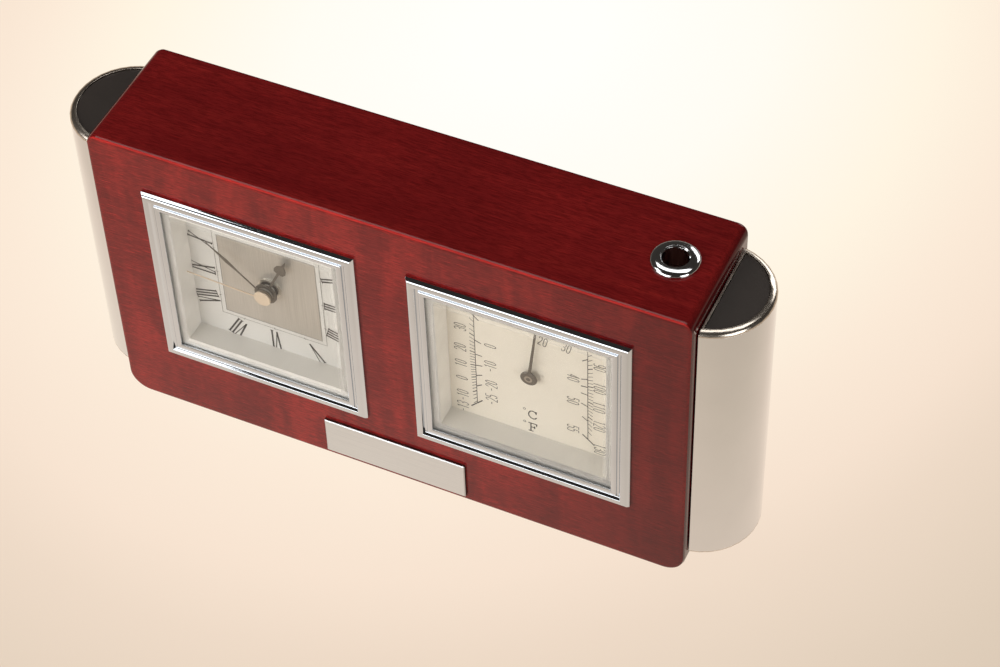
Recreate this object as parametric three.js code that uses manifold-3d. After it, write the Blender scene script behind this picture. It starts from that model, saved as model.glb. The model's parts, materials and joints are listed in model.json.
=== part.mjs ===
// Desk pen holder with a quartz clock and a thermometer in a lacquered wood block.
// Millimetres. +X right, +Y to the back, +Z up. The origin is under the middle of the base.
import * as THREE from "three";
import { mergeVertices } from "three/addons/utils/BufferGeometryUtils.js";
import Module from "manifold-3d";

const wasm = await Module();
wasm.setup();

// Clearances
const PART_GAP = 0.1;
const SEAT_GAP = 0.3;
const CUT_OVERRUN = 1;

// Bezels of the two square inserts
const BEZEL_SIZE = 60;
const BEZEL_PROUD = 1.75;
const BEZEL_FACE_WIDTH = 5;
const BEZEL_GAP = 14.2;
const SKIRT_WALL = 0.7;
const SKIRT_OVERLAP = 2;

// Moulding across a bezel's face: shares of its width inward, and of its height down from the rim
const BEZEL_MOULDING = [[0, 0.45], [0.05, 0.2], [0.14, 0.04], [0.26, 0], [0.4, 0.03], [0.52, 0.15],
  [0.6, 0.32], [0.64, 0.4], [0.68, 0.4], [0.72, 0.26], [0.8, 0.2], [0.92, 0.24], [1, 0.34]];

// Lens, dial and case behind each bezel
const LENS_OVERLAP = 0.9;
const LENS_PROUD = 0.85;
const LENS_THICKNESS = 1;
const LENS_BEVEL_WIDTH = 3.2;
const LENS_BEVEL_DEPTH = 0.35;
const LENS_CLEARANCE = 2;
const WELL_WALL = 0.8;
const WELL_FLANGE = 0.4;
const WELL_FLANGE_WIDTH = 2.9;
const DIAL_THICKNESS = 0.5;
const CASE_WALL = 1.2;
const CASE_CORNER_RADIUS = 1;
const CASE_FLOOR = 1.2;
const CASE_PLAY = 1;
const POCKET_CLEARANCE = 0.6;
const POCKET_PLAY = 5.4;
const FIT_BAND_START = 8;
const FIT_BAND_DEPTH = 5;

// Engraving plate
const PLATE_WIDTH = 41;
const PLATE_HEIGHT = 12.2;
const PLATE_THICKNESS = 1;
const PLATE_EDGE = 0.25;
const PLATE_RISE = 2.6;
const PLATE_TO_BEZEL = 6.7;

// Wood round the inserts, and the pad under it
const SIDE_MARGIN = 14.9;
const TOP_MARGIN = 13.5;
const BACK_WALL = 11.5;
const WOOD_BOTTOM_RADIUS = 6;
const WOOD_TOP_RADIUS = 3;
const WOOD_EDGE_RADIUS = 1.2;
const PAD_THICKNESS = 0.8;
const PAD_INSET = 3;
const PAD_CORNER_RADIUS = 2;

// Pen socket
const PEN_BORE_RADIUS = 3.3;
const PEN_WALL = 1.3;
const PEN_RING_RADIUS = 6.2;
const PEN_RING_RISE = 1.5;
const PEN_RING_EDGE = 0.35;
const PEN_RING_WALL = 0.5;
const PEN_RING_SPIGOT = 5;
const PEN_TUBE_WALL = 0.4;
const PEN_TUBE_LENGTH = 42;
const PEN_TUBE_FLOOR = 1;

// Half-round columns on the two sides
const COLUMN_PROUD = 13.3;
const COLUMN_GAP = 0.3;
const COLUMN_SIDE_MARGIN = 2.7;
const COLUMN_RISE = 6.1;
const COLUMN_DROP = 4.7;
const SHELL_WALL = 0.9;
const SHELL_LIP = 3.5;
const CAP_SIDE = 0.3;
const CAP_BEVEL_RISE = 1.1;
const CAP_BEVEL_WIDTH = 1.6;
const CAP_BULGE_INWARD = 0.5;
const CAP_BULGE_DOWN = 0.4;
const CAP_LAND = 0.25;
const CAP_FLAT_WALL = 0.6;
const CAP_RECESS = 1.4;
const CAP_SPIGOT = 5;
const INLAY_THICKNESS = 1;
const MOUNT_THICKNESS = 1.6;
const MOUNT_END_CLEARANCE = 3;
const SCREW_LENGTH = 16;
const SCREW_RADIUS = 1.6;
const SCREW_TIP = 3.2;
const SCREW_HEAD_RADIUS = 3.1;
const SCREW_HEAD_HEIGHT = 1.5;
const SCREW_SLOT_WIDTH = 0.9;
const SCREW_SLOT_DEPTH = 0.4;
const SCREW_SIDE_OFFSET = 7.5;
const SCREW_END_OFFSET = 14;

// Hands, at the time shown: degrees clockwise from twelve, and backs in front of the dial
const HOUR_ANGLE = 25.9;
const MINUTE_ANGLE = 310.8;
const SECOND_ANGLE = 273;
const HOUR_LIFT = 1.9;
const MINUTE_LIFT = 2.9;
const SECOND_LIFT = 4;
const HAND_THICKNESS = 0.2;
const SECOND_REACH_CLEARANCE = 0.9;
const MINUTE_SHORTER = 1.4;
const HOUR_SHORTER = 5.1;
const SECOND_HALF_WIDTH = 0.2;
const SECOND_DISC_RADIUS = 2.4;
const SECOND_DISC_DOME = 0.15;
const SECOND_PIPE_RADIUS = 0.9;
const SECOND_PIPE_LENGTH = 0.6;
const MINUTE_HUB_RADIUS = 2.3;
const MINUTE_STEM = 0.2;
const MINUTE_LEAF = 0.55;
const MINUTE_LEAF_SHARE = 0.65;
const HOUR_RING_RADIUS = 3.2;
const HOUR_RING_WALL = 0.9;
const HOUR_RING_RISE = 0.3;
const HOUR_STEM = 0.35;
const HOUR_SPADE = 1.75;
const HOUR_SPADE_LENGTH = 5.6;

// Coaxial arbors at the dial's centre, by outer radius
const SECOND_ARBOR_RADIUS = 0.35;
const CENTRE_TUBE_RADIUS = 0.7;
const CANNON_TUBE_RADIUS = 1.15;
const HOUR_TUBE_RADIUS = 1.7;
const BUSH_RADIUS = 2.6;
const NUT_WALL = 0.75;
const NUT_THICKNESS = 0.5;
const ARBOR_RADIUS = 0.4;
const BEARING_GAP = 0.15;
const ARBOR_END_GAP = 0.2;

// Gear train
const WHEEL_THICKNESS = 0.5;
const PINION_OVERHANG = 0.1;
const GEAR_MODULE = 0.34;
const ROTOR_MODULE = 0.28;
const TOOTH_TIP = 0.9;
const TOOTH_ROOT = 1.2;
const TOOTH_HALF_SHARE = 0.24;
const CANNON_TEETH = 10;
const MINUTE_WORKS_TEETH = 30;
const MINUTE_WORKS_PINION_TEETH = 8;
const HOUR_WHEEL_TEETH = 32;
const TRAIN_PINION_TEETH = 6;
const THIRD_WHEEL_TEETH = 45;
const CENTRE_WHEEL_TEETH = 48;
const SECONDS_WHEEL_TEETH = 30;
const INTERMEDIATE_TEETH = 36;

// Movement housing and electrics
const MOVEMENT_MARGIN = 3.5;
const MOVEMENT_WALL = 1;
const MOVEMENT_CORNER_RADIUS = 2;
const BRIDGE_THICKNESS = 0.6;
const POST_RADIUS = 1.3;
const POST_MARGIN = 1.1;
const BATTERY_RADIUS = 5.8;
const BATTERY_THICKNESS = 5.4;
const BATTERY_RISE = 8.8;
const BATTERY_MARGIN = 1;
const BATTERY_PLAY = 0.8;
const CONTACT_SPACE = 1.2;
const CONTACT_STRIP = 0.25;
const CONTACT_WIDTH = 3;
const CONTACT_REACH = 4.2;
const HATCH_RIM = 0.7;
const HATCH_SLOT = { length: 8, width: 1.6, depth: 0.7 };
const STATOR_THICKNESS = 0.6;
const STATOR_BAND = 1.6;
const STATOR_EYE_WALL = 1.1;
const MAGNET_RADIUS = 1.9;
const MAGNET_THICKNESS = 0.8;
const COIL_RADIUS = 2.2;
const COIL_LENGTH = 11.5;
const COIL_MARGIN = 0.8;
const COIL_CORE_WIDTH = 2.4;
const COIL_FLANGE = 0.5;
const COIL_EAR = 2.6;
const BOARD = { width: 16, height: 8.4, thickness: 0.8, margin: 1.3 };
const CHIP = { radius: 1.9, thickness: 1 };
const CRYSTAL = { length: 6, width: 1.6 };
const KNOB_RADIUS = 3.5;
const KNOB_RIBS = 18;
const KNOB_RIB_DEPTH = 0.25;
const KNOB_PROUD = 1;

// Thermometer: the reading shown, in degrees clockwise from twelve, and its works
const POINTER_ANGLE = 6.8;
const POINTER_LENGTH = 17.4;
const POINTER_LIFT = 1.5;
const POINTER_THICKNESS = 0.25;
const POINTER_HUB_RADIUS = 2.3;
const POINTER_ROOT = 0.42;
const POINTER_TIP = 0.28;
const COLLET_RADIUS = 1.6;
const BIMETAL_TURNS = 4;
const BIMETAL_PITCH = 1.25;
const BIMETAL_STRIP = 0.35;
const BIMETAL_HEIGHT = 4;
const BIMETAL_STEPS = 16;
const BRACKET_THICKNESS = 1.2;
const BRACKET_WIDTH = 14;
const BRACKET_POST = { depth: 2, width: 3 };
const VENT = { length: 24, width: 2, spacing: 6, count: 4 };

// Heights and widths that follow
const OPENING_HALF = BEZEL_SIZE / 2 - BEZEL_FACE_WIDTH;
const LENS_HALF = OPENING_HALF + LENS_OVERLAP;
const CASE_HALF = LENS_HALF + PART_GAP + SKIRT_WALL;
const CASE_INNER_HALF = CASE_HALF - CASE_WALL;
const DIAL_HALF = CASE_INNER_HALF - 2 * PART_GAP;
const WELL_INNER_HALF = LENS_HALF - WELL_FLANGE_WIDTH;
const POCKET_HALF = CASE_HALF + POCKET_CLEARANCE;
const POCKET_CORNER_RADIUS = 2 * POCKET_CLEARANCE;
const INSERT_OFFSET = (BEZEL_SIZE + BEZEL_GAP) / 2;
const WOOD_BOTTOM = PAD_THICKNESS;
const PLATE_Z = WOOD_BOTTOM + PLATE_RISE + PLATE_HEIGHT / 2;
const INSERT_Z = PLATE_Z + PLATE_HEIGHT / 2 + PLATE_TO_BEZEL + BEZEL_SIZE / 2;
const WOOD_TOP = INSERT_Z + BEZEL_SIZE / 2 + TOP_MARGIN;
const WOOD_SIDE = INSERT_OFFSET + BEZEL_SIZE / 2 + SIDE_MARGIN;

// Depths of the insert's layers, behind the wood's front face
const LENS_FRONT = -LENS_PROUD;
const LENS_BACK = LENS_FRONT + LENS_THICKNESS;
const BEZEL_SKIRT_BACK = LENS_BACK + SKIRT_OVERLAP;
const SECOND_DISC_HEIGHT = HAND_THICKNESS + SECOND_DISC_DOME;
const DIAL_FRONT = LENS_BACK + LENS_CLEARANCE + SECOND_DISC_HEIGHT + SECOND_LIFT;
const HOUR_BACK = DIAL_FRONT - HOUR_LIFT;
const MINUTE_BACK = DIAL_FRONT - MINUTE_LIFT;
const SECOND_BACK = DIAL_FRONT - SECOND_LIFT;
const MOVEMENT_FRONT = DIAL_FRONT + DIAL_THICKNESS;
const MOVEMENT_FLOOR = MOVEMENT_FRONT + MOVEMENT_WALL;
const LAYER_PITCH = 2 * WHEEL_THICKNESS;
const LAYER_HOUR = MOVEMENT_FLOOR + WHEEL_THICKNESS;
const LAYER_MINUTE = LAYER_HOUR + LAYER_PITCH;
const LAYER_CENTRE = LAYER_MINUTE + LAYER_PITCH;
const BRIDGE_FRONT = LAYER_CENTRE + LAYER_PITCH;
const BRIDGE_BACK = BRIDGE_FRONT + BRIDGE_THICKNESS;
const LAYER_THIRD = BRIDGE_BACK + SEAT_GAP;
const LAYER_SECONDS = LAYER_THIRD + LAYER_PITCH;
const LAYER_INTERMEDIATE = LAYER_SECONDS + LAYER_PITCH;
const BATTERY_FRONT = MOVEMENT_FLOOR + CONTACT_SPACE;
const BATTERY_BACK = BATTERY_FRONT + BATTERY_THICKNESS;
const COVER_FRONT = BATTERY_BACK + BATTERY_PLAY;
const MOVEMENT_BACK = COVER_FRONT + MOVEMENT_WALL;
const CASE_FLOOR_FRONT = MOVEMENT_BACK + CASE_PLAY;
const CASE_BACK = CASE_FLOOR_FRONT + CASE_FLOOR;
const POCKET_DEPTH = CASE_BACK + KNOB_PROUD + POCKET_PLAY;
const WOOD_DEPTH = POCKET_DEPTH + BACK_WALL;
const WOOD_FRONT = -WOOD_DEPTH / 2;

// Pen socket and columns that follow
const PEN_SPIGOT_RADIUS = PEN_BORE_RADIUS + PEN_RING_WALL;
const PEN_TUBE_INNER = PEN_SPIGOT_RADIUS + PART_GAP;
const PEN_TUBE_OUTER = PEN_TUBE_INNER + PEN_TUBE_WALL;
const PEN_HOLE_RADIUS = PEN_TUBE_OUTER + PART_GAP;
const PEN_X = INSERT_OFFSET + POCKET_HALF + PEN_WALL + PEN_HOLE_RADIUS;
const COLUMN_BOTTOM = WOOD_BOTTOM + COLUMN_RISE;
const COLUMN_TOP = WOOD_TOP - COLUMN_DROP;
const SHELL_BOTTOM = COLUMN_BOTTOM + CAP_SIDE + CAP_BEVEL_RISE;
const SHELL_TOP = COLUMN_TOP - CAP_SIDE - CAP_BEVEL_RISE;
const MOUNT_STEP = COLUMN_GAP + SHELL_WALL + SEAT_GAP;
const MOUNT_FACE = MOUNT_STEP + MOUNT_THICKNESS;

// Wheel centres in the movement, as x and z from the dial's centre
const CENTRE = { x: 0, z: 0 };
const WORKS_DISTANCE = GEAR_MODULE * (CANNON_TEETH + MINUTE_WORKS_TEETH) / 2;
const HOUR_MODULE = 2 * WORKS_DISTANCE / (MINUTE_WORKS_PINION_TEETH + HOUR_WHEEL_TEETH);
const THIRD_DISTANCE = GEAR_MODULE * (TRAIN_PINION_TEETH + THIRD_WHEEL_TEETH) / 2;
const CENTRE_MODULE = 2 * THIRD_DISTANCE / (TRAIN_PINION_TEETH + CENTRE_WHEEL_TEETH);
const INTERMEDIATE_DISTANCE = GEAR_MODULE * (TRAIN_PINION_TEETH + SECONDS_WHEEL_TEETH) / 2;
const ROTOR_DISTANCE = ROTOR_MODULE * (TRAIN_PINION_TEETH + INTERMEDIATE_TEETH) / 2;
const MINUTE_WORKS = around(CENTRE, WORKS_DISTANCE, 90);
const SETTING = around(MINUTE_WORKS, WORKS_DISTANCE, 105);
const THIRD = around(CENTRE, THIRD_DISTANCE, 0);
const INTERMEDIATE = around(CENTRE, INTERMEDIATE_DISTANCE, 240);
const ROTOR = around(INTERMEDIATE, ROTOR_DISTANCE, 200);
const BORE = ARBOR_RADIUS + BEARING_GAP;

const FINISH = {
  lacqueredWood: { color: 0x7a1a18, roughness: 0.18, metalness: 0 },
  felt: { color: 0x1c1a1a, roughness: 0.95, metalness: 0 },
  chrome: { color: 0xd8d8da, roughness: 0.06, metalness: 1 },
  satinPlate: { color: 0xb7b4b0, roughness: 0.38, metalness: 1 },
  blackInlay: { color: 0x262322, roughness: 0.35, metalness: 0 },
  greyPlastic: { color: 0xcfccc4, roughness: 0.3, metalness: 0 },
  blackPlastic: { color: 0x1e1e20, roughness: 0.5, metalness: 0 },
  rubber: { color: 0x2a2a2a, roughness: 0.8, metalness: 0 },
  glass: { color: 0xf2f5f4, roughness: 0.03, metalness: 0 },
  clockDial: { color: 0xdedad2, roughness: 0.35, metalness: 0.3 },
  thermometerDial: { color: 0xe6dac8, roughness: 0.6, metalness: 0 },
  gunmetal: { color: 0x4a4540, roughness: 0.35, metalness: 0.8 },
  cream: { color: 0xd9c3a0, roughness: 0.5, metalness: 0 },
  brass: { color: 0xb08d4a, roughness: 0.3, metalness: 1 },
  steel: { color: 0x9a9a9a, roughness: 0.3, metalness: 1 },
  acetal: { color: 0xe8e6e0, roughness: 0.5, metalness: 0 },
  copper: { color: 0xb4622d, roughness: 0.35, metalness: 0.9 },
  circuit: { color: 0x2f5d3a, roughness: 0.55, metalness: 0 },
};

// Places and angles

function around(centre, distance, degrees) {
  const angle = THREE.MathUtils.degToRad(degrees);
  return { x: centre.x + distance * Math.cos(angle), z: centre.z + distance * Math.sin(angle) };
}

// Clock angles run clockwise from twelve; this turns one into the usual angle.
function clockAngle(degrees) {
  return THREE.MathUtils.degToRad(90 - degrees);
}

// Closed bodies

// A closed surface with shared vertices merged, flat triangles dropped and faces turned out.
function closed(source) {
  const bare = new THREE.BufferGeometry();
  bare.setAttribute("position", source.getAttribute("position").clone());
  if (source.index) bare.setIndex(source.index.clone());
  const merged = mergeVertices(bare, 1e-4);
  const index = merged.index.array;
  const kept = [];
  for (let i = 0; i < index.length; i += 3) {
    const [a, b, c] = [index[i], index[i + 1], index[i + 2]];
    if (a !== b && b !== c && c !== a) kept.push(a, b, c);
  }
  if (signedVolume(merged.getAttribute("position").array, kept) < 0) kept.reverse();
  merged.setIndex(kept);
  return merged;
}

function signedVolume(points, index) {
  const corner = [new THREE.Vector3(), new THREE.Vector3(), new THREE.Vector3()];
  let sum = 0;
  for (let i = 0; i < index.length; i += 3) {
    corner.forEach((v, k) => v.fromArray(points, 3 * index[i + k]));
    sum += corner[0].dot(corner[1].cross(corner[2]));
  }
  return sum / 6;
}

function toManifold(geometry) {
  const body = closed(geometry);
  return new wasm.Manifold(new wasm.Mesh({
    numProp: 3,
    vertProperties: new Float32Array(body.getAttribute("position").array),
    triVerts: new Uint32Array(body.index.array),
  }));
}

function fromManifold(manifold) {
  const mesh = manifold.getMesh();
  const geometry = new THREE.BufferGeometry();
  geometry.setAttribute("position", new THREE.BufferAttribute(Float32Array.from(mesh.vertProperties), 3));
  geometry.setIndex(Array.from(mesh.triVerts));
  return geometry;
}

// Joins the added shapes to the first one, then cuts the others away.
function combine(base, { add = [], cut = [] }) {
  let solid = toManifold(base);
  for (const shape of add) solid = solid.add(toManifold(shape));
  for (const shape of cut) solid = solid.subtract(toManifold(shape));
  return fromManifold(solid);
}

function piece(name, geometry, finish) {
  const body = closed(geometry);
  body.computeVertexNormals();
  const mesh = new THREE.Mesh(body, new THREE.MeshStandardMaterial(FINISH[finish]));
  mesh.name = name;
  return mesh;
}

// Outlines

function polygon(points) {
  return new THREE.Shape(points.map(([x, y]) => new THREE.Vector2(x, y)));
}

function circle(radius, x = 0, y = 0) {
  return new THREE.Shape().absarc(x, y, radius, 0, 2 * Math.PI);
}

function rectangle(width, height, x = 0, y = 0) {
  const [w, h] = [width / 2, height / 2];
  return polygon([[x - w, y - h], [x + w, y - h], [x + w, y + h], [x - w, y + h]]);
}

function roundedRectangle(width, height, radius, x = 0, y = 0) {
  const shape = new THREE.Shape();
  const [w, h] = [width / 2 - radius, height / 2 - radius];
  const quarter = Math.PI / 2;
  shape.absarc(x + w, y - h, radius, -quarter, 0);
  shape.absarc(x + w, y + h, radius, 0, quarter);
  shape.absarc(x - w, y + h, radius, quarter, 2 * quarter);
  shape.absarc(x - w, y - h, radius, 2 * quarter, 3 * quarter);
  shape.closePath();
  return shape;
}

// Bodies from outlines and profiles

// Extrudes a shape drawn in x and z from one depth to another along +Y.
function plate(shape, from, to, segments = 8) {
  const geometry = new THREE.ExtrudeGeometry(shape, {
    depth: to - from, bevelEnabled: false, curveSegments: segments,
  });
  return geometry.rotateX(Math.PI / 2).translate(0, to, 0);
}

// Extrudes a shape drawn in x and y from one height to another along +Z.
function slab(shape, from, to, segments = 8) {
  const geometry = new THREE.ExtrudeGeometry(shape, {
    depth: to - from, bevelEnabled: false, curveSegments: segments,
  });
  return geometry.translate(0, 0, from);
}

function box(width, depth, height, x, y, z) {
  return new THREE.BoxGeometry(width, depth, height).translate(x, y, z);
}

// A turned body about the Y axis through a place; profile points are radius and depth.
function turned(profile, at = CENTRE, segments = 20) {
  const points = profile.map(([radius, depth]) => new THREE.Vector2(radius, depth));
  return new THREE.LatheGeometry(points, segments).translate(at.x, 0, at.z);
}

// A turned body about the Z axis; profile points are radius and height.
function turnedUpright(profile, x, y) {
  const points = profile.map(([radius, height]) => new THREE.Vector2(radius, height));
  return new THREE.LatheGeometry(points, 24).rotateX(Math.PI / 2).translate(x, y, 0);
}

// A square, mitred body: a four-sided lathe whose profile gives half the square's side and a depth.
function squareTurned(profile) {
  const points = profile.map(([half, depth]) => new THREE.Vector2(half * Math.SQRT2, depth));
  return new THREE.LatheGeometry(points, 4, Math.PI / 4);
}

function rod(radius, from, to, at = CENTRE, segments = 12) {
  return turned([[0, from], [radius, from], [radius, to], [0, to]], at, segments);
}

function ring(inner, outer, from, to, at = CENTRE, segments = 16) {
  return turned([[inner, from], [outer, from], [outer, to], [inner, to], [inner, from]], at, segments);
}

// Joins convex rings of points, all of the same count, into a closed body with flat ends.
function loft(rings) {
  const count = rings[0].length;
  const index = [];
  for (let k = 0; k + 1 < rings.length; k++) {
    for (let i = 0; i < count; i++) {
      const next = (i + 1) % count;
      const [a, b, c, d] = [k * count + i, k * count + next, (k + 1) * count + next, (k + 1) * count + i];
      index.push(a, b, c, a, c, d);
    }
  }
  const last = (rings.length - 1) * count;
  for (let i = 1; i + 1 < count; i++) {
    index.push(0, i + 1, i, last, last + i, last + i + 1);
  }
  const geometry = new THREE.BufferGeometry();
  const positions = rings.flat().flatMap((p) => [p.x, p.y, p.z]);
  geometry.setAttribute("position", new THREE.Float32BufferAttribute(positions, 3));
  geometry.setIndex(index);
  return geometry;
}

function mirrored(geometry) {
  return closed(geometry).scale(-1, 1, 1);
}

// Gears

function gearShape(teeth, module, phase, bore) {
  const pitch = 2 * Math.PI / teeth;
  const tip = module * (teeth / 2 + TOOTH_TIP);
  const root = module * (teeth / 2 - TOOTH_ROOT);
  const points = [];
  for (let i = 0; i < teeth; i++) {
    for (const [radius, share] of [[root, -TOOTH_HALF_SHARE], [tip, 0], [root, TOOTH_HALF_SHARE]]) {
      const angle = phase + (i + share) * pitch;
      points.push([radius * Math.cos(angle), radius * Math.sin(angle)]);
    }
  }
  const shape = polygon(points);
  if (bore > 0) shape.holes.push(circle(bore));
  return shape;
}

function gear(teeth, module, phase, front, thickness, at, bore = 0) {
  return plate(gearShape(teeth, module, phase, bore), front, front + thickness).translate(at.x, 0, at.z);
}

// The phase of a gear that meshes with another one, from that one's phase, teeth and place.
function meshPhase(phase, teeth, ownTeeth, from, to) {
  const direction = Math.atan2(to.z - from.z, to.x - from.x);
  return direction + Math.PI - (phase - direction) * teeth / ownTeeth + Math.PI / ownTeeth;
}

// Wood block, pad and engraving plate

// The block from the front: its top corners are tighter than its bottom ones.
function woodOutline() {
  const shape = new THREE.Shape();
  const quarter = Math.PI / 2;
  const [foot, head] = [WOOD_SIDE - WOOD_BOTTOM_RADIUS, WOOD_SIDE - WOOD_TOP_RADIUS];
  const [low, high] = [WOOD_BOTTOM + WOOD_BOTTOM_RADIUS, WOOD_TOP - WOOD_TOP_RADIUS];
  shape.absarc(foot, low, WOOD_BOTTOM_RADIUS, -quarter, 0);
  shape.absarc(head, high, WOOD_TOP_RADIUS, 0, quarter);
  shape.absarc(-head, high, WOOD_TOP_RADIUS, quarter, 2 * quarter);
  shape.absarc(-foot, low, WOOD_BOTTOM_RADIUS, 2 * quarter, 3 * quarter);
  shape.closePath();
  return shape;
}

function woodBody() {
  const block = new THREE.ExtrudeGeometry(woodOutline(), {
    depth: WOOD_DEPTH - 2 * WOOD_EDGE_RADIUS, curveSegments: 5,
    bevelThickness: WOOD_EDGE_RADIUS, bevelSize: WOOD_EDGE_RADIUS,
    bevelOffset: -WOOD_EDGE_RADIUS, bevelSegments: 2,
  }).rotateX(Math.PI / 2).translate(0, WOOD_DEPTH / 2 - WOOD_EDGE_RADIUS, 0);
  const cut = [-INSERT_OFFSET, INSERT_OFFSET].map(insertPocket);
  cut.push(penHole());
  for (const at of screwPlaces()) {
    const hole = screwShape(at, true).translate(WOOD_SIDE, 0, 0);
    cut.push(hole, mirrored(hole));
  }
  return combine(block, { cut });
}

function insertPocket(x) {
  const outline = roundedRectangle(2 * POCKET_HALF, 2 * POCKET_HALF, POCKET_CORNER_RADIUS);
  return plate(outline, WOOD_FRONT - CUT_OVERRUN, WOOD_FRONT + POCKET_DEPTH, 2).translate(x, 0, INSERT_Z);
}

function penHole() {
  const bottom = WOOD_TOP - PEN_TUBE_LENGTH - 2 * SEAT_GAP;
  const top = WOOD_TOP + CUT_OVERRUN;
  return turnedUpright([[0, bottom], [PEN_HOLE_RADIUS, bottom], [PEN_HOLE_RADIUS, top], [0, top]], PEN_X, 0);
}

function basePad() {
  const inset = WOOD_BOTTOM_RADIUS + PAD_INSET;
  const outline = roundedRectangle(2 * (WOOD_SIDE - inset), WOOD_DEPTH - 2 * PAD_INSET, PAD_CORNER_RADIUS);
  return slab(outline, 0, PAD_THICKNESS, 4);
}

function engravingPlate() {
  const corners = (inset, y) => [[-1, -1], [1, -1], [1, 1], [-1, 1]].map(([right, up]) => new THREE.Vector3(
    right * (PLATE_WIDTH / 2 - inset), y, PLATE_Z + up * (PLATE_HEIGHT / 2 - inset)));
  const face = WOOD_FRONT - PLATE_THICKNESS;
  return loft([corners(0, WOOD_FRONT), corners(0, face + PLATE_EDGE), corners(PLATE_EDGE, face)]);
}

// Pen socket

function penRing() {
  const bottom = WOOD_TOP - PEN_RING_SPIGOT;
  const shoulder = WOOD_TOP + PEN_RING_EDGE;
  const crest = WOOD_TOP + PEN_RING_RISE;
  const crestRadius = PEN_BORE_RADIUS + PEN_RING_EDGE;
  const dome = new THREE.EllipseCurve(crestRadius, shoulder,
    PEN_RING_RADIUS - crestRadius, crest - shoulder, 0, Math.PI / 2);
  return turnedUpright([
    [PEN_BORE_RADIUS, bottom], [PEN_SPIGOT_RADIUS, bottom], [PEN_SPIGOT_RADIUS, WOOD_TOP],
    [PEN_RING_RADIUS, WOOD_TOP], ...dome.getPoints(5).map((p) => [p.x, p.y]),
    [PEN_BORE_RADIUS, crest - PEN_RING_EDGE], [PEN_BORE_RADIUS, bottom],
  ], PEN_X, 0);
}

function penTube() {
  const top = WOOD_TOP - SEAT_GAP;
  const bottom = top - PEN_TUBE_LENGTH;
  const floor = bottom + PEN_TUBE_FLOOR;
  return turnedUpright([[0, bottom], [PEN_TUBE_OUTER, bottom], [PEN_TUBE_OUTER, top],
    [PEN_TUBE_INNER, top], [PEN_TUBE_INNER, floor], [0, floor]], PEN_X, 0);
}

// Columns: drawn for the right side as the distance out from the wood, y and height, then mirrored

const ARC_STEPS = 16;
const CHORD_HALF = WOOD_DEPTH / 2 - COLUMN_SIDE_MARGIN;
const COLUMN_REACH = COLUMN_PROUD - COLUMN_GAP;
const COLUMN_RADIUS = (CHORD_HALF ** 2 + COLUMN_REACH ** 2) / (2 * COLUMN_REACH);
const LIP_HALF = CHORD_HALF - SHELL_LIP;

// The round side of the column's outline drawn in by the inset, down to a distance from the wood.
function columnArc(inset, from) {
  const centre = COLUMN_PROUD - COLUMN_RADIUS;
  const radius = COLUMN_RADIUS - inset;
  const half = Math.acos((from - centre) / radius);
  const points = [];
  for (let i = 0; i <= ARC_STEPS; i++) {
    const angle = -half + 2 * half * i / ARC_STEPS;
    points.push([centre + radius * Math.cos(angle), radius * Math.sin(angle)]);
  }
  return points;
}

// The column's outline at a height, drawn in by one inset on the curved side and one on the flat side.
function columnRing(inset, z, flatInset = inset) {
  return columnArc(inset, COLUMN_GAP + flatInset).map(([x, y]) => new THREE.Vector3(x, y, z));
}

function columnShell() {
  const inner = COLUMN_GAP + SHELL_WALL;
  const section = polygon([
    ...columnArc(0, COLUMN_GAP), [COLUMN_GAP, LIP_HALF], [inner, LIP_HALF],
    ...columnArc(SHELL_WALL, inner).reverse(), [inner, -LIP_HALF], [COLUMN_GAP, -LIP_HALF],
  ]);
  return slab(section, SHELL_BOTTOM, SHELL_TOP);
}

// A stepped bar screwed to the wood, whose wings hold the shell's lips.
function columnMount() {
  const padHalf = LIP_HALF - SEAT_GAP;
  const [, wingHalf] = columnArc(SHELL_WALL + SEAT_GAP, MOUNT_FACE)[ARC_STEPS];
  const section = polygon([
    [0, -padHalf], [MOUNT_STEP, -padHalf], [MOUNT_STEP, -wingHalf], [MOUNT_FACE, -wingHalf],
    [MOUNT_FACE, wingHalf], [MOUNT_STEP, wingHalf], [MOUNT_STEP, padHalf], [0, padHalf],
  ]);
  const end = CAP_SPIGOT + MOUNT_END_CLEARANCE;
  const bar = slab(section, SHELL_BOTTOM + end, SHELL_TOP - end);
  return combine(bar, { cut: screwPlaces().map((at) => screwShape(at, true)) });
}

// Two screws a side, on a diagonal that passes the pen socket.
function screwPlaces() {
  return [
    { y: -SCREW_SIDE_OFFSET, z: SHELL_BOTTOM + SCREW_END_OFFSET },
    { y: SCREW_SIDE_OFFSET, z: SHELL_TOP - SCREW_END_OFFSET },
  ];
}

// A countersunk screw lying along X, or with room round it the hole that it needs.
function screwShape(at, asHole) {
  const spare = asHole ? SEAT_GAP / 2 : 0;
  const radius = SCREW_RADIUS + spare;
  const head = SCREW_HEAD_RADIUS + spare;
  const tip = MOUNT_FACE - SCREW_LENGTH - spare;
  const neck = MOUNT_FACE - SCREW_HEAD_HEIGHT;
  const profile = [[0, tip], [radius, tip + SCREW_TIP], [radius, neck], [head, MOUNT_FACE]];
  if (asHole) profile.push([head, MOUNT_FACE + CUT_OVERRUN]);
  const points = profile.map(([r, x]) => new THREE.Vector2(r, x));
  points.push(new THREE.Vector2(0, points[points.length - 1].y));
  return new THREE.LatheGeometry(points, 12).rotateZ(-Math.PI / 2).translate(0, at.y, at.z);
}

function columnScrew(at) {
  const slot = box(2 * SCREW_SLOT_DEPTH, SCREW_SLOT_WIDTH, 1.5 * SCREW_HEAD_RADIUS, MOUNT_FACE, at.y, at.z);
  return combine(screwShape(at, false), { cut: [slot] });
}

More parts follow.
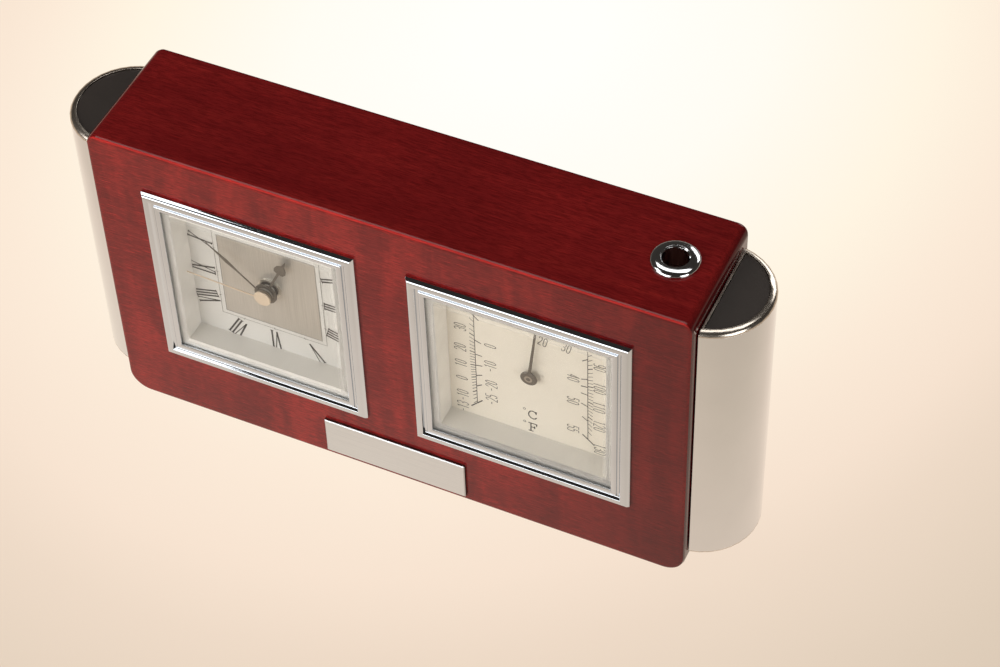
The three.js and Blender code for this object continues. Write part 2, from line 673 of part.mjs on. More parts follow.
// A bevelled end cap with a recess for the inlay, drawn as the top one.
function columnCap() {
  const side = SHELL_TOP + CAP_SIDE;
  const rim = loft([columnRing(0, SHELL_TOP), columnRing(0, side),
    columnRing(CAP_BULGE_INWARD, COLUMN_TOP - CAP_BULGE_DOWN, 0), columnRing(CAP_BEVEL_WIDTH, COLUMN_TOP, 0)]);
  const spigotInset = SHELL_WALL + SEAT_GAP;
  const spigot = loft([columnRing(spigotInset, SHELL_TOP - CAP_SPIGOT), columnRing(spigotInset, side)]);
  const recessInset = CAP_BEVEL_WIDTH + CAP_LAND;
  const recess = loft([columnRing(recessInset, COLUMN_TOP - CAP_RECESS, CAP_FLAT_WALL),
    columnRing(recessInset, COLUMN_TOP + CUT_OVERRUN, CAP_FLAT_WALL)]);
  return combine(rim, { add: [spigot], cut: [recess] });
}

function columnInlay() {
  const inset = CAP_BEVEL_WIDTH + CAP_LAND + PART_GAP;
  const flatInset = CAP_FLAT_WALL + PART_GAP;
  const floor = COLUMN_TOP - CAP_RECESS;
  return loft([columnRing(inset, floor, flatInset), columnRing(inset, floor + INLAY_THICKNESS, flatInset)]);
}

function columnGroup(side) {
  const label = side < 0 ? "left" : "right";
  const place = (geometry) => {
    const moved = geometry.translate(WOOD_SIDE, 0, 0);
    return side < 0 ? mirrored(moved) : moved;
  };
  const upsideDown = (geometry) => closed(geometry).scale(1, 1, -1).translate(0, 0, COLUMN_TOP + COLUMN_BOTTOM);
  const [lower, upper] = screwPlaces();
  const group = new THREE.Group();
  group.add(
    piece(`${label}_column_shell`, place(columnShell()), "chrome"),
    piece(`${label}_column_mount`, place(columnMount()), "blackPlastic"),
    piece(`${label}_column_screw_lower`, place(columnScrew(lower)), "steel"),
    piece(`${label}_column_screw_upper`, place(columnScrew(upper)), "steel"),
    piece(`${label}_column_top_cap`, place(columnCap()), "chrome"),
    piece(`${label}_column_top_inlay`, place(columnInlay()), "blackInlay"),
    piece(`${label}_column_bottom_cap`, place(upsideDown(columnCap())), "chrome"),
    piece(`${label}_column_bottom_inlay`, place(upsideDown(columnInlay())), "blackInlay"),
  );
  return group;
}

// Parts that the two inserts share; y is the depth behind the wood's front face

function bezel() {
  const outer = BEZEL_SIZE / 2;
  const moulding = BEZEL_MOULDING.map(([inward, down]) =>
    [outer - inward * BEZEL_FACE_WIDTH, (down - 1) * BEZEL_PROUD]);
  return squareTurned([
    [outer, 0], ...moulding, [OPENING_HALF, LENS_FRONT],
    [LENS_HALF + PART_GAP, LENS_FRONT], [LENS_HALF + PART_GAP, BEZEL_SKIRT_BACK],
    [CASE_HALF, BEZEL_SKIRT_BACK], [CASE_HALF, 0], [outer, 0],
  ]);
}

function lens() {
  return squareTurned([[0, LENS_FRONT], [LENS_HALF - LENS_BEVEL_WIDTH, LENS_FRONT],
    [LENS_HALF, LENS_FRONT + LENS_BEVEL_DEPTH], [LENS_HALF, LENS_BACK], [0, LENS_BACK]]);
}

// The box round the dial, with a flange that carries the lens.
function well() {
  const outer = WELL_INNER_HALF + WELL_WALL;
  const flangeBack = LENS_BACK + WELL_FLANGE;
  return squareTurned([[WELL_INNER_HALF, LENS_BACK], [LENS_HALF, LENS_BACK], [LENS_HALF, flangeBack],
    [outer, flangeBack], [outer, DIAL_FRONT], [WELL_INNER_HALF, DIAL_FRONT], [WELL_INNER_HALF, LENS_BACK]]);
}

function dial(holeRadius) {
  const outline = rectangle(2 * DIAL_HALF, 2 * DIAL_HALF);
  outline.holes.push(circle(holeRadius));
  return plate(outline, DIAL_FRONT, MOVEMENT_FRONT, 16);
}

function insertCase(holes) {
  const outline = roundedRectangle(2 * CASE_HALF, 2 * CASE_HALF, CASE_CORNER_RADIUS);
  const body = plate(outline, BEZEL_SKIRT_BACK, CASE_BACK, 2);
  const hollow = plate(rectangle(2 * CASE_INNER_HALF, 2 * CASE_INNER_HALF),
    BEZEL_SKIRT_BACK - CUT_OVERRUN, CASE_FLOOR_FRONT);
  return combine(body, { cut: [hollow, ...holes] });
}

// A soft band round the case that takes up the clearance in the pocket.
function fitBand() {
  const outer = POCKET_HALF - PART_GAP;
  const inner = CASE_HALF + PART_GAP;
  const outline = roundedRectangle(2 * outer, 2 * outer, POCKET_CORNER_RADIUS - PART_GAP);
  outline.holes.push(roundedRectangle(2 * inner, 2 * inner, CASE_CORNER_RADIUS));
  return plate(outline, FIT_BAND_START, FIT_BAND_START + FIT_BAND_DEPTH, 2);
}

function sharedParts(label, dialHole, caseHoles, dialFinish) {
  return [
    piece(`${label}_bezel`, bezel(), "chrome"),
    piece(`${label}_lens`, lens(), "glass"),
    piece(`${label}_well`, well(), "greyPlastic"),
    piece(`${label}_dial`, dial(dialHole), dialFinish),
    piece(`${label}_case`, insertCase(caseHoles), "blackPlastic"),
    piece(`${label}_fit_band`, fitBand(), "rubber"),
  ];
}

// Hands, drawn pointing up and then turned to the time shown

const SECOND_LENGTH = WELL_INNER_HALF - SECOND_REACH_CLEARANCE;
const MINUTE_LENGTH = SECOND_LENGTH - MINUTE_SHORTER;
const HOUR_LENGTH = MINUTE_LENGTH - HOUR_SHORTER;

function turnedTo(geometry, degrees) {
  return geometry.rotateY(THREE.MathUtils.degToRad(degrees));
}

// A blade from points on its right-hand edge, root to tip.
function blade(edge, from, to) {
  return plate(polygon([...edge, ...edge.map(([x, z]) => [-x, z]).reverse()]), from, to);
}

function hourHand() {
  const front = HOUR_BACK - HAND_THICKNESS;
  const ringInner = HOUR_RING_RADIUS - HOUR_RING_WALL;
  const low = HOUR_LENGTH - HOUR_SPADE_LENGTH;
  const spade = blade([
    [HOUR_STEM, ringInner], [HOUR_STEM, low], [0.8 * HOUR_SPADE, low + 0.05 * HOUR_SPADE_LENGTH],
    [HOUR_SPADE, low + 0.25 * HOUR_SPADE_LENGTH], [0.8 * HOUR_SPADE, low + 0.45 * HOUR_SPADE_LENGTH],
    [0.25 * HOUR_SPADE, low + 0.65 * HOUR_SPADE_LENGTH], [0.06 * HOUR_SPADE, HOUR_LENGTH],
  ], front, HOUR_BACK);
  const disc = ring(HOUR_TUBE_RADIUS + PART_GAP, HOUR_RING_RADIUS, front, HOUR_BACK, CENTRE, 20);
  const rim = ring(ringInner, HOUR_RING_RADIUS, front - HOUR_RING_RISE, HOUR_BACK, CENTRE, 20);
  return turnedTo(combine(disc, { add: [rim, spade] }), HOUR_ANGLE);
}

function minuteHand() {
  const front = MINUTE_BACK - HAND_THICKNESS;
  const swell = MINUTE_LEAF_SHARE * MINUTE_LENGTH;
  const root = (CANNON_TUBE_RADIUS + MINUTE_HUB_RADIUS) / 2;
  const leaf = blade([
    [MINUTE_STEM, root], [MINUTE_STEM, 0.7 * swell], [MINUTE_LEAF, swell],
    [MINUTE_STEM, 1.3 * swell], [0.3 * MINUTE_STEM, MINUTE_LENGTH],
  ], front, MINUTE_BACK);
  const hub = ring(CANNON_TUBE_RADIUS + PART_GAP, MINUTE_HUB_RADIUS, front, MINUTE_BACK);
  return turnedTo(combine(hub, { add: [leaf] }), MINUTE_ANGLE);
}

function secondHand() {
  const front = SECOND_BACK - HAND_THICKNESS;
  const needle = blade([[SECOND_HALF_WIDTH, 0], [0.6 * SECOND_HALF_WIDTH, SECOND_LENGTH]], front, SECOND_BACK);
  const disc = turned([[0, SECOND_BACK - SECOND_DISC_HEIGHT],
    [SECOND_DISC_RADIUS - SECOND_DISC_DOME, SECOND_BACK - SECOND_DISC_HEIGHT],
    [SECOND_DISC_RADIUS, front], [SECOND_DISC_RADIUS, SECOND_BACK], [0, SECOND_BACK]]);
  const bore = SECOND_ARBOR_RADIUS + PART_GAP;
  const pipe = ring(bore, SECOND_PIPE_RADIUS, front, SECOND_BACK + SECOND_PIPE_LENGTH);
  return turnedTo(combine(disc, { add: [needle, pipe] }), SECOND_ANGLE);
}

// Motion works and going train

const CANNON_PHASE = clockAngle(MINUTE_ANGLE);
const WORKS_PHASE = meshPhase(CANNON_PHASE, CANNON_TEETH, MINUTE_WORKS_TEETH, CENTRE, MINUTE_WORKS);
const SETTING_PHASE = meshPhase(WORKS_PHASE, MINUTE_WORKS_TEETH, CANNON_TEETH, MINUTE_WORKS, SETTING);
const HOUR_PHASE = meshPhase(0, MINUTE_WORKS_PINION_TEETH, HOUR_WHEEL_TEETH, MINUTE_WORKS, CENTRE);
const CENTRE_PHASE = meshPhase(0, TRAIN_PINION_TEETH, CENTRE_WHEEL_TEETH, THIRD, CENTRE);
const THIRD_PHASE = meshPhase(0, TRAIN_PINION_TEETH, THIRD_WHEEL_TEETH, CENTRE, THIRD);
const SECONDS_PHASE = meshPhase(0, TRAIN_PINION_TEETH, SECONDS_WHEEL_TEETH, INTERMEDIATE, CENTRE);
const INTERMEDIATE_PHASE = meshPhase(0, TRAIN_PINION_TEETH, INTERMEDIATE_TEETH, ROTOR, INTERMEDIATE);
const ARBOR_FRONT = MOVEMENT_FRONT + ARBOR_END_GAP;
const ARBOR_BACK = MOVEMENT_BACK - ARBOR_END_GAP;
const PINION_THICKNESS = WHEEL_THICKNESS + 2 * PINION_OVERHANG;

function wheel(teeth, module, phase, front, at = CENTRE, bore = 0) {
  return gear(teeth, module, phase, front, WHEEL_THICKNESS, at, bore);
}

// A pinion that reaches past the wheel in its layer on both sides.
function pinion(teeth, module, phase, layer, at = CENTRE, bore = 0) {
  return gear(teeth, module, phase, layer - PINION_OVERHANG, PINION_THICKNESS, at, bore);
}

// A pinion that runs on into the next layer, where its own wheel is fixed.
function longPinion(teeth, module, layer, at) {
  return gear(teeth, module, 0, layer - PINION_OVERHANG, LAYER_PITCH + 2 * PINION_OVERHANG, at);
}

function hourWheel() {
  const inner = CANNON_TUBE_RADIUS + PART_GAP;
  const tube = ring(inner, HOUR_TUBE_RADIUS, HOUR_BACK - HAND_THICKNESS, LAYER_HOUR + WHEEL_THICKNESS);
  return combine(wheel(HOUR_WHEEL_TEETH, HOUR_MODULE, HOUR_PHASE, LAYER_HOUR, CENTRE, inner), { add: [tube] });
}

function cannonPinion() {
  const inner = CENTRE_TUBE_RADIUS + PART_GAP;
  const back = LAYER_MINUTE - PINION_OVERHANG + PINION_THICKNESS;
  const tube = ring(inner, CANNON_TUBE_RADIUS, MINUTE_BACK - HAND_THICKNESS, back);
  return combine(pinion(CANNON_TEETH, GEAR_MODULE, CANNON_PHASE, LAYER_MINUTE, CENTRE, inner), { add: [tube] });
}

function minuteWorksWheel() {
  const arbor = rod(ARBOR_RADIUS, ARBOR_FRONT, LAYER_MINUTE + WHEEL_THICKNESS + SEAT_GAP, MINUTE_WORKS);
  return combine(wheel(MINUTE_WORKS_TEETH, GEAR_MODULE, WORKS_PHASE, LAYER_MINUTE, MINUTE_WORKS), {
    add: [longPinion(MINUTE_WORKS_PINION_TEETH, HOUR_MODULE, LAYER_HOUR, MINUTE_WORKS), arbor],
  });
}

function centreWheel() {
  const inner = SECOND_ARBOR_RADIUS + PART_GAP;
  const tube = ring(inner, CENTRE_TUBE_RADIUS, MINUTE_BACK, BRIDGE_BACK);
  const disc = wheel(CENTRE_WHEEL_TEETH, CENTRE_MODULE, CENTRE_PHASE, LAYER_CENTRE, CENTRE, inner);
  return combine(disc, { add: [tube] });
}

function thirdWheel() {
  const arbor = rod(ARBOR_RADIUS, ARBOR_FRONT, ARBOR_BACK, THIRD);
  return combine(wheel(THIRD_WHEEL_TEETH, GEAR_MODULE, THIRD_PHASE, LAYER_THIRD, THIRD), {
    add: [pinion(TRAIN_PINION_TEETH, CENTRE_MODULE, 0, LAYER_CENTRE, THIRD), arbor],
  });
}

function secondsWheel() {
  const arbor = rod(SECOND_ARBOR_RADIUS, SECOND_BACK + PART_GAP, ARBOR_BACK);
  return combine(wheel(SECONDS_WHEEL_TEETH, GEAR_MODULE, SECONDS_PHASE, LAYER_SECONDS), {
    add: [longPinion(TRAIN_PINION_TEETH, GEAR_MODULE, LAYER_THIRD, CENTRE), arbor],
  });
}

function intermediateWheel() {
  const arbor = rod(ARBOR_RADIUS, BRIDGE_FRONT + ARBOR_END_GAP, ARBOR_BACK, INTERMEDIATE);
  const disc = wheel(INTERMEDIATE_TEETH, ROTOR_MODULE, INTERMEDIATE_PHASE, LAYER_INTERMEDIATE, INTERMEDIATE);
  return combine(disc, {
    add: [longPinion(TRAIN_PINION_TEETH, GEAR_MODULE, LAYER_SECONDS, INTERMEDIATE), arbor],
  });
}

function rotor() {
  const magnetFront = BRIDGE_BACK + PART_GAP;
  const magnet = rod(MAGNET_RADIUS, magnetFront, magnetFront + MAGNET_THICKNESS, ROTOR, 20);
  const arbor = rod(ARBOR_RADIUS, BRIDGE_FRONT + ARBOR_END_GAP, ARBOR_BACK, ROTOR);
  const drive = pinion(TRAIN_PINION_TEETH, ROTOR_MODULE, 0, LAYER_INTERMEDIATE, ROTOR);
  return combine(drive, { add: [magnet, arbor] });
}

// A ribbed knob at the back sets the hands through the minute-works wheel.
function settingKnob() {
  const ribs = [];
  for (let i = 0; i < 2 * KNOB_RIBS; i++) {
    const angle = i * Math.PI / KNOB_RIBS;
    const radius = KNOB_RADIUS - (i % 2) * KNOB_RIB_DEPTH;
    ribs.push([radius * Math.cos(angle), radius * Math.sin(angle)]);
  }
  const front = MOVEMENT_BACK + SEAT_GAP;
  const knob = plate(polygon(ribs), front, CASE_BACK + KNOB_PROUD).translate(SETTING.x, 0, SETTING.z);
  const arbor = rod(ARBOR_RADIUS, ARBOR_FRONT, front + PART_GAP, SETTING);
  const drive = pinion(CANNON_TEETH, GEAR_MODULE, SETTING_PHASE, LAYER_MINUTE, SETTING);
  return combine(knob, { add: [drive, arbor] });
}

// Movement housing

const MOVEMENT_HALF = CASE_INNER_HALF - MOVEMENT_MARGIN;
const TRAY_HALF = MOVEMENT_HALF - MOVEMENT_WALL;
const POST_OFFSET = TRAY_HALF - POST_MARGIN - POST_RADIUS;
const BATTERY = { x: BATTERY_MARGIN + BATTERY_RADIUS - TRAY_HALF, z: BATTERY_RISE };
const HATCH_RADIUS = BATTERY_RADIUS + HATCH_RIM;
const COIL_Z = COIL_MARGIN + COIL_RADIUS - TRAY_HALF;
const COIL_BAR_HALF = COIL_LENGTH / 2 + PART_GAP + COIL_FLANGE + SEAT_GAP + COIL_EAR;
const CORE_MIDDLE = BRIDGE_BACK + 1.5 * STATOR_THICKNESS;

function bores(places, from, to) {
  return places.map((at) => rod(BORE, from, to, at));
}

function movementBase() {
  const outline = roundedRectangle(2 * MOVEMENT_HALF, 2 * MOVEMENT_HALF, MOVEMENT_CORNER_RADIUS);
  const block = plate(outline, MOVEMENT_FRONT, COVER_FRONT, 3);
  const hollow = plate(rectangle(2 * TRAY_HALF, 2 * TRAY_HALF), MOVEMENT_FLOOR, COVER_FRONT + CUT_OVERRUN);
  const tray = combine(block, { cut: [hollow] });
  const root = MOVEMENT_FLOOR - MOVEMENT_WALL / 2;
  const posts = [[1, 1], [-1, 1], [1, -1]].map(([right, up]) =>
    rod(POST_RADIUS, root, BRIDGE_FRONT, { x: right * POST_OFFSET, z: up * POST_OFFSET }));
  const bush = rod(BUSH_RADIUS, DIAL_FRONT - NUT_THICKNESS, root, CENTRE, 20);
  const [front, back] = [DIAL_FRONT - CUT_OVERRUN, MOVEMENT_FLOOR + CUT_OVERRUN];
  const cut = [rod(HOUR_TUBE_RADIUS + PART_GAP, front, back, CENTRE, 20),
    ...bores([MINUTE_WORKS, THIRD, SETTING], front, back)];
  return combine(tray, { add: [...posts, bush], cut });
}

function bridgePlate() {
  const half = TRAY_HALF - SEAT_GAP;
  const body = plate(rectangle(2 * half, 2 * half), BRIDGE_FRONT, BRIDGE_BACK);
  const [front, back] = [BRIDGE_FRONT - CUT_OVERRUN, BRIDGE_BACK + CUT_OVERRUN];
  const coilWidth = 2 * (COIL_BAR_HALF - COIL_EAR);
  const coilTop = COIL_Z + COIL_RADIUS + SEAT_GAP;
  const window = rectangle(coilWidth, coilTop + TRAY_HALF, ROTOR.x, (coilTop - TRAY_HALF) / 2);
  const cut = [plate(window, front, back), rod(BATTERY_RADIUS + SEAT_GAP, front, back, BATTERY, 20),
    rod(CENTRE_TUBE_RADIUS + PART_GAP, front, back),
    ...bores([THIRD, INTERMEDIATE, ROTOR, SETTING], front, back)];
  return combine(body, { cut });
}

function movementCover() {
  const outline = roundedRectangle(2 * MOVEMENT_HALF, 2 * MOVEMENT_HALF, MOVEMENT_CORNER_RADIUS);
  const [front, back] = [COVER_FRONT - CUT_OVERRUN, MOVEMENT_BACK + CUT_OVERRUN];
  const cut = [rod(BATTERY_RADIUS + SEAT_GAP, front, back, BATTERY, 20),
    ...bores([CENTRE, THIRD, INTERMEDIATE, ROTOR, SETTING], front, back)];
  return combine(plate(outline, COVER_FRONT, MOVEMENT_BACK, 3), { cut });
}

function centreNut() {
  const inner = BUSH_RADIUS + PART_GAP;
  return ring(inner, BUSH_RADIUS + NUT_WALL, DIAL_FRONT - NUT_THICKNESS, DIAL_FRONT, CENTRE, 20);
}

// Stator, coil, circuit board and battery

// A flat yoke: a band above the coil with the rotor's eye in it, and an ear down each side.
function stator() {
  const back = BRIDGE_BACK + STATOR_THICKNESS;
  const [outer, inner] = [COIL_BAR_HALF, COIL_BAR_HALF - COIL_EAR];
  const bottom = COIL_Z - COIL_CORE_WIDTH / 2;
  const [low, high] = [ROTOR.z - STATOR_BAND, ROTOR.z + STATOR_BAND];
  const yoke = plate(polygon([
    [-outer, bottom], [-inner, bottom], [-inner, low], [inner, low], [inner, bottom], [outer, bottom],
    [outer, high], [-outer, high],
  ]), BRIDGE_BACK, back).translate(ROTOR.x, 0, 0);
  const eye = MAGNET_RADIUS + SEAT_GAP;
  return combine(yoke, {
    add: [rod(eye + STATOR_EYE_WALL, BRIDGE_BACK, back, ROTOR, 20)],
    cut: [rod(eye, BRIDGE_BACK - CUT_OVERRUN, back + CUT_OVERRUN, ROTOR, 20)],
  });
}

function alongCoil(radius, length, offset) {
  return new THREE.CylinderGeometry(radius, radius, length, 16)
    .rotateZ(Math.PI / 2).translate(ROTOR.x + offset, CORE_MIDDLE, COIL_Z);
}

function coilBobbin() {
  const core = box(2 * COIL_BAR_HALF, STATOR_THICKNESS, COIL_CORE_WIDTH, ROTOR.x, CORE_MIDDLE, COIL_Z);
  const offset = COIL_LENGTH / 2 + PART_GAP + COIL_FLANGE / 2;
  const flanges = [-offset, offset].map((x) => alongCoil(COIL_RADIUS, COIL_FLANGE, x));
  return combine(core, { add: flanges });
}

function coilWinding() {
  const [thickness, width] = [STATOR_THICKNESS + 2 * PART_GAP, COIL_CORE_WIDTH + 2 * PART_GAP];
  const hole = box(COIL_LENGTH + 2 * CUT_OVERRUN, thickness, width, ROTOR.x, CORE_MIDDLE, COIL_Z);
  return combine(alongCoil(COIL_RADIUS, COIL_LENGTH, 0), { cut: [hole] });
}

function circuitBoard() {
  const corner = TRAY_HALF - BOARD.margin;
  const [x, z] = [corner - BOARD.width / 2, BOARD.height / 2 - corner];
  const face = BRIDGE_BACK + BOARD.thickness;
  const board = plate(rectangle(BOARD.width, BOARD.height, x, z), BRIDGE_BACK, face);
  const chipX = x - BOARD.width / 4;
  const chip = plate(circle(CHIP.radius, chipX, z), face - PART_GAP, face + CHIP.thickness, 6);
  const crystal = box(CRYSTAL.length, CRYSTAL.width, CRYSTAL.width,
    x + BOARD.width / 4, face - PART_GAP + CRYSTAL.width / 2, z);
  return combine(board, { add: [chip, crystal] });
}

function battery() {
  const [step, lip] = [BATTERY_RADIUS / 6, BATTERY_THICKNESS / 12];
  return turned([[0, BATTERY_FRONT], [BATTERY_RADIUS - step, BATTERY_FRONT],
    [BATTERY_RADIUS - step, BATTERY_FRONT + lip], [BATTERY_RADIUS, BATTERY_FRONT + 2 * lip],
    [BATTERY_RADIUS, BATTERY_BACK - lip], [BATTERY_RADIUS - lip, BATTERY_BACK], [0, BATTERY_BACK]], BATTERY);
}

// A bent leaf spring between the tray's floor and the cell.
function batteryContact() {
  const top = CONTACT_SPACE - PART_GAP;
  const flat = CONTACT_REACH / 2;
  const side = polygon([
    [-CONTACT_REACH, 0], [-flat, 0], [0, top - CONTACT_STRIP], [CONTACT_REACH, top - CONTACT_STRIP],
    [CONTACT_REACH, top], [-CONTACT_STRIP, top], [-flat - CONTACT_STRIP, CONTACT_STRIP],
    [-CONTACT_REACH, CONTACT_STRIP],
  ]);
  return slab(side, -CONTACT_WIDTH / 2, CONTACT_WIDTH / 2).translate(BATTERY.x, MOVEMENT_FLOOR, BATTERY.z);
}

function batteryHatch() {
  const disc = rod(HATCH_RADIUS, CASE_FLOOR_FRONT, CASE_BACK, BATTERY, 20);
  const [front, back] = [BATTERY_BACK + PART_GAP, CASE_FLOOR_FRONT + PART_GAP];
  const boss = rod(BATTERY_RADIUS - HATCH_RIM, front, back, BATTERY, 20);
  const slot = box(HATCH_SLOT.length, 2 * HATCH_SLOT.depth, HATCH_SLOT.width, BATTERY.x, CASE_BACK, BATTERY.z);
  return combine(disc, { add: [boss], cut: [slot] });
}

function clockCaseHoles() {
  const [front, back] = [CASE_FLOOR_FRONT - CUT_OVERRUN, CASE_BACK + CUT_OVERRUN];
  return [rod(KNOB_RADIUS + SEAT_GAP, front, back, SETTING, 20),
    rod(HATCH_RADIUS + SEAT_GAP, front, back, BATTERY, 20)];
}

function clockInsert() {
  const group = new THREE.Group();
  group.position.set(-INSERT_OFFSET, WOOD_FRONT, INSERT_Z);
  group.add(
    ...sharedParts("clock", BUSH_RADIUS + PART_GAP, clockCaseHoles(), "clockDial"),
    piece("centre_nut", centreNut(), "steel"),
    piece("hour_hand", hourHand(), "gunmetal"),
    piece("minute_hand", minuteHand(), "gunmetal"),
    piece("second_hand", secondHand(), "cream"),
    piece("movement_base", movementBase(), "blackPlastic"),
    piece("bridge_plate", bridgePlate(), "acetal"),
    piece("movement_cover", movementCover(), "blackPlastic"),
    piece("hour_wheel", hourWheel(), "acetal"),
    piece("cannon_pinion", cannonPinion(), "acetal"),
    piece("minute_works_wheel", minuteWorksWheel(), "acetal"),
    piece("centre_wheel", centreWheel(), "acetal"),
    piece("third_wheel", thirdWheel(), "acetal"),
    piece("seconds_wheel", secondsWheel(), "acetal"),
    piece("intermediate_wheel", intermediateWheel(), "acetal"),
    piece("rotor", rotor(), "acetal"),
    piece("stator", stator(), "steel"),
    piece("coil_bobbin", coilBobbin(), "steel"),
    piece("coil_winding", coilWinding(), "copper"),
    piece("circuit_board", circuitBoard(), "circuit"),
    piece("battery", battery(), "steel"),
    piece("battery_contact", batteryContact(), "steel"),
    piece("battery_hatch", batteryHatch(), "blackPlastic"),
    piece("setting_knob", settingKnob(), "acetal"),
  );
  return group;
}

// Thermometer works

const POINTER_BACK = DIAL_FRONT - POINTER_LIFT;
const BIMETAL_INNER_RADIUS = COLLET_RADIUS + SEAT_GAP + BIMETAL_STRIP;
const BIMETAL_OUTER_RADIUS = BIMETAL_INNER_RADIUS + BIMETAL_TURNS * BIMETAL_PITCH + BIMETAL_STRIP / 2;
const BIMETAL_FRONT = MOVEMENT_FRONT + BRACKET_THICKNESS + SEAT_GAP;
const BIMETAL_BACK = BIMETAL_FRONT + BIMETAL_HEIGHT;

function pointer() {
  const front = POINTER_BACK - POINTER_THICKNESS;
  const bevel = POINTER_HUB_RADIUS / 6;
  const disc = turned([[0, front - POINTER_THICKNESS], [POINTER_HUB_RADIUS - bevel, front - POINTER_THICKNESS],
    [POINTER_HUB_RADIUS, front], [POINTER_HUB_RADIUS, POINTER_BACK], [0, POINTER_BACK]]);
  const arm = blade([[POINTER_ROOT, 0], [POINTER_TIP, POINTER_LENGTH]], front, POINTER_BACK);
  const arbor = rod(ARBOR_RADIUS, front, BIMETAL_BACK + SEAT_GAP);
  const collet = rod(COLLET_RADIUS, BIMETAL_FRONT, BIMETAL_BACK);
  return turnedTo(combine(disc, { add: [arm, arbor, collet] }), POINTER_ANGLE);
}

// A flat spiral strip from the pointer's collet out to the bracket's post.
function bimetalCoil() {
  const edge = (offset) => {
    const points = [];
    for (let i = 0; i <= BIMETAL_TURNS * BIMETAL_STEPS; i++) {
      const turn = i / BIMETAL_STEPS;
      const radius = BIMETAL_INNER_RADIUS + BIMETAL_PITCH * turn + offset;
      points.push([radius * Math.cos(2 * Math.PI * turn), radius * Math.sin(2 * Math.PI * turn)]);
    }
    return points;
  };
  const outline = [...edge(BIMETAL_STRIP / 2), ...edge(-BIMETAL_STRIP / 2).reverse()];
  return plate(polygon(outline), BIMETAL_FRONT, BIMETAL_BACK);
}

function coilBracket() {
  const postX = BIMETAL_OUTER_RADIUS + SEAT_GAP + BRACKET_POST.depth / 2;
  const length = 2 * (postX + BRACKET_POST.depth);
  const base = plate(rectangle(length, BRACKET_WIDTH), MOVEMENT_FRONT, MOVEMENT_FRONT + BRACKET_THICKNESS);
  const post = box(BRACKET_POST.depth, BIMETAL_BACK - MOVEMENT_FRONT, BRACKET_POST.width,
    postX, (BIMETAL_BACK + MOVEMENT_FRONT) / 2, 0);
  const holes = bores([CENTRE], MOVEMENT_FRONT - CUT_OVERRUN, MOVEMENT_FRONT + BRACKET_THICKNESS + CUT_OVERRUN);
  return combine(base, { add: [post], cut: holes });
}

function thermometerCaseVents() {
  const vents = [];
  for (let i = 0; i < VENT.count; i++) {
    const z = (i - (VENT.count - 1) / 2) * VENT.spacing;
    vents.push(box(VENT.length, 2 * (CASE_FLOOR + CUT_OVERRUN), VENT.width, 0, CASE_BACK, z));
  }
  return vents;
}

function thermometerInsert() {
  const group = new THREE.Group();
  group.position.set(INSERT_OFFSET, WOOD_FRONT, INSERT_Z);
  group.add(
    ...sharedParts("thermometer", BORE, thermometerCaseVents(), "thermometerDial"),
    piece("thermometer_pointer", pointer(), "gunmetal"),
    piece("bimetal_coil", bimetalCoil(), "brass"),
    piece("coil_bracket", coilBracket(), "brass"),
  );
  return group;
}

// The whole object, set so that its depth is centred on the origin

const penHolder = new THREE.Group();
penHolder.position.y = BEZEL_PROUD / 2;
penHolder.add(
  piece("wood_body", woodBody(), "lacqueredWood"),
  piece("base_pad", basePad(), "felt"),
  piece("engraving_plate", engravingPlate(), "satinPlate"),
  piece("pen_socket_ring", penRing(), "chrome"),
  piece("pen_socket_tube", penTube(), "blackPlastic"),
  columnGroup(-1),
  columnGroup(1),
  clockInsert(),
  thermometerInsert(),
);

export default penHolder;
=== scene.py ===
import json
import math

import bmesh
import bpy
from mathutils import Matrix, Vector

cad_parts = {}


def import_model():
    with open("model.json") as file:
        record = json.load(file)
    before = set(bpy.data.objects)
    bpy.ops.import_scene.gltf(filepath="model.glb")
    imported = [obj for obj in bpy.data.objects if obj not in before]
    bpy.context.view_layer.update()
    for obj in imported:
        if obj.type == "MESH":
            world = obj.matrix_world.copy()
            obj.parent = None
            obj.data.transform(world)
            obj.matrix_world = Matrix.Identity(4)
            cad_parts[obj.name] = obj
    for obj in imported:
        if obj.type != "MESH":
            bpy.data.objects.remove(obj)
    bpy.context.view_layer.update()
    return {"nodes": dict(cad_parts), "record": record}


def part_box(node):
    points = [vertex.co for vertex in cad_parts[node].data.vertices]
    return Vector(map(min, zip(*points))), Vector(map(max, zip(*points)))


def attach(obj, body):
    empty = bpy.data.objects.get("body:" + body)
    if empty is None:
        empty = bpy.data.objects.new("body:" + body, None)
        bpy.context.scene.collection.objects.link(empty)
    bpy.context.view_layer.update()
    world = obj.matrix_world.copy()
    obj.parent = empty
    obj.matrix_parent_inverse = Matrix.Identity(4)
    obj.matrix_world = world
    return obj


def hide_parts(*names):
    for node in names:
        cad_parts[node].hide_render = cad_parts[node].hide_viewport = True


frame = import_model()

MM = 0.001
SCENE = bpy.context.scene

# The photograph's camera, in metres, radians and pixels
CAMERA_PLACE = Vector((0.22638, -0.40977, 0.55471))
CAMERA_YAW = 0.45993
CAMERA_PITCH = 0.83428
CAMERA_ROLL = -0.03791
FOCAL_PIXELS = 2673.1
IMAGE_WIDTH = 1000
SENSOR_WIDTH = 36
CLIP_START = 0.01

# Depths and centres that the printed and moulded pieces are built on
WOOD_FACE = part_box("wood_body")[0].y
CLOCK_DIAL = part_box("clock_dial")
THERMOMETER_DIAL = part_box("thermometer_dial")


def centre_of(box):
    return (box[0] + box[1]) / 2


# Shader nodes

# The range that a noise mostly keeps to
NOISE_LOW = 0.3
NOISE_HIGH = 0.7
BEVEL_SAMPLES = 6


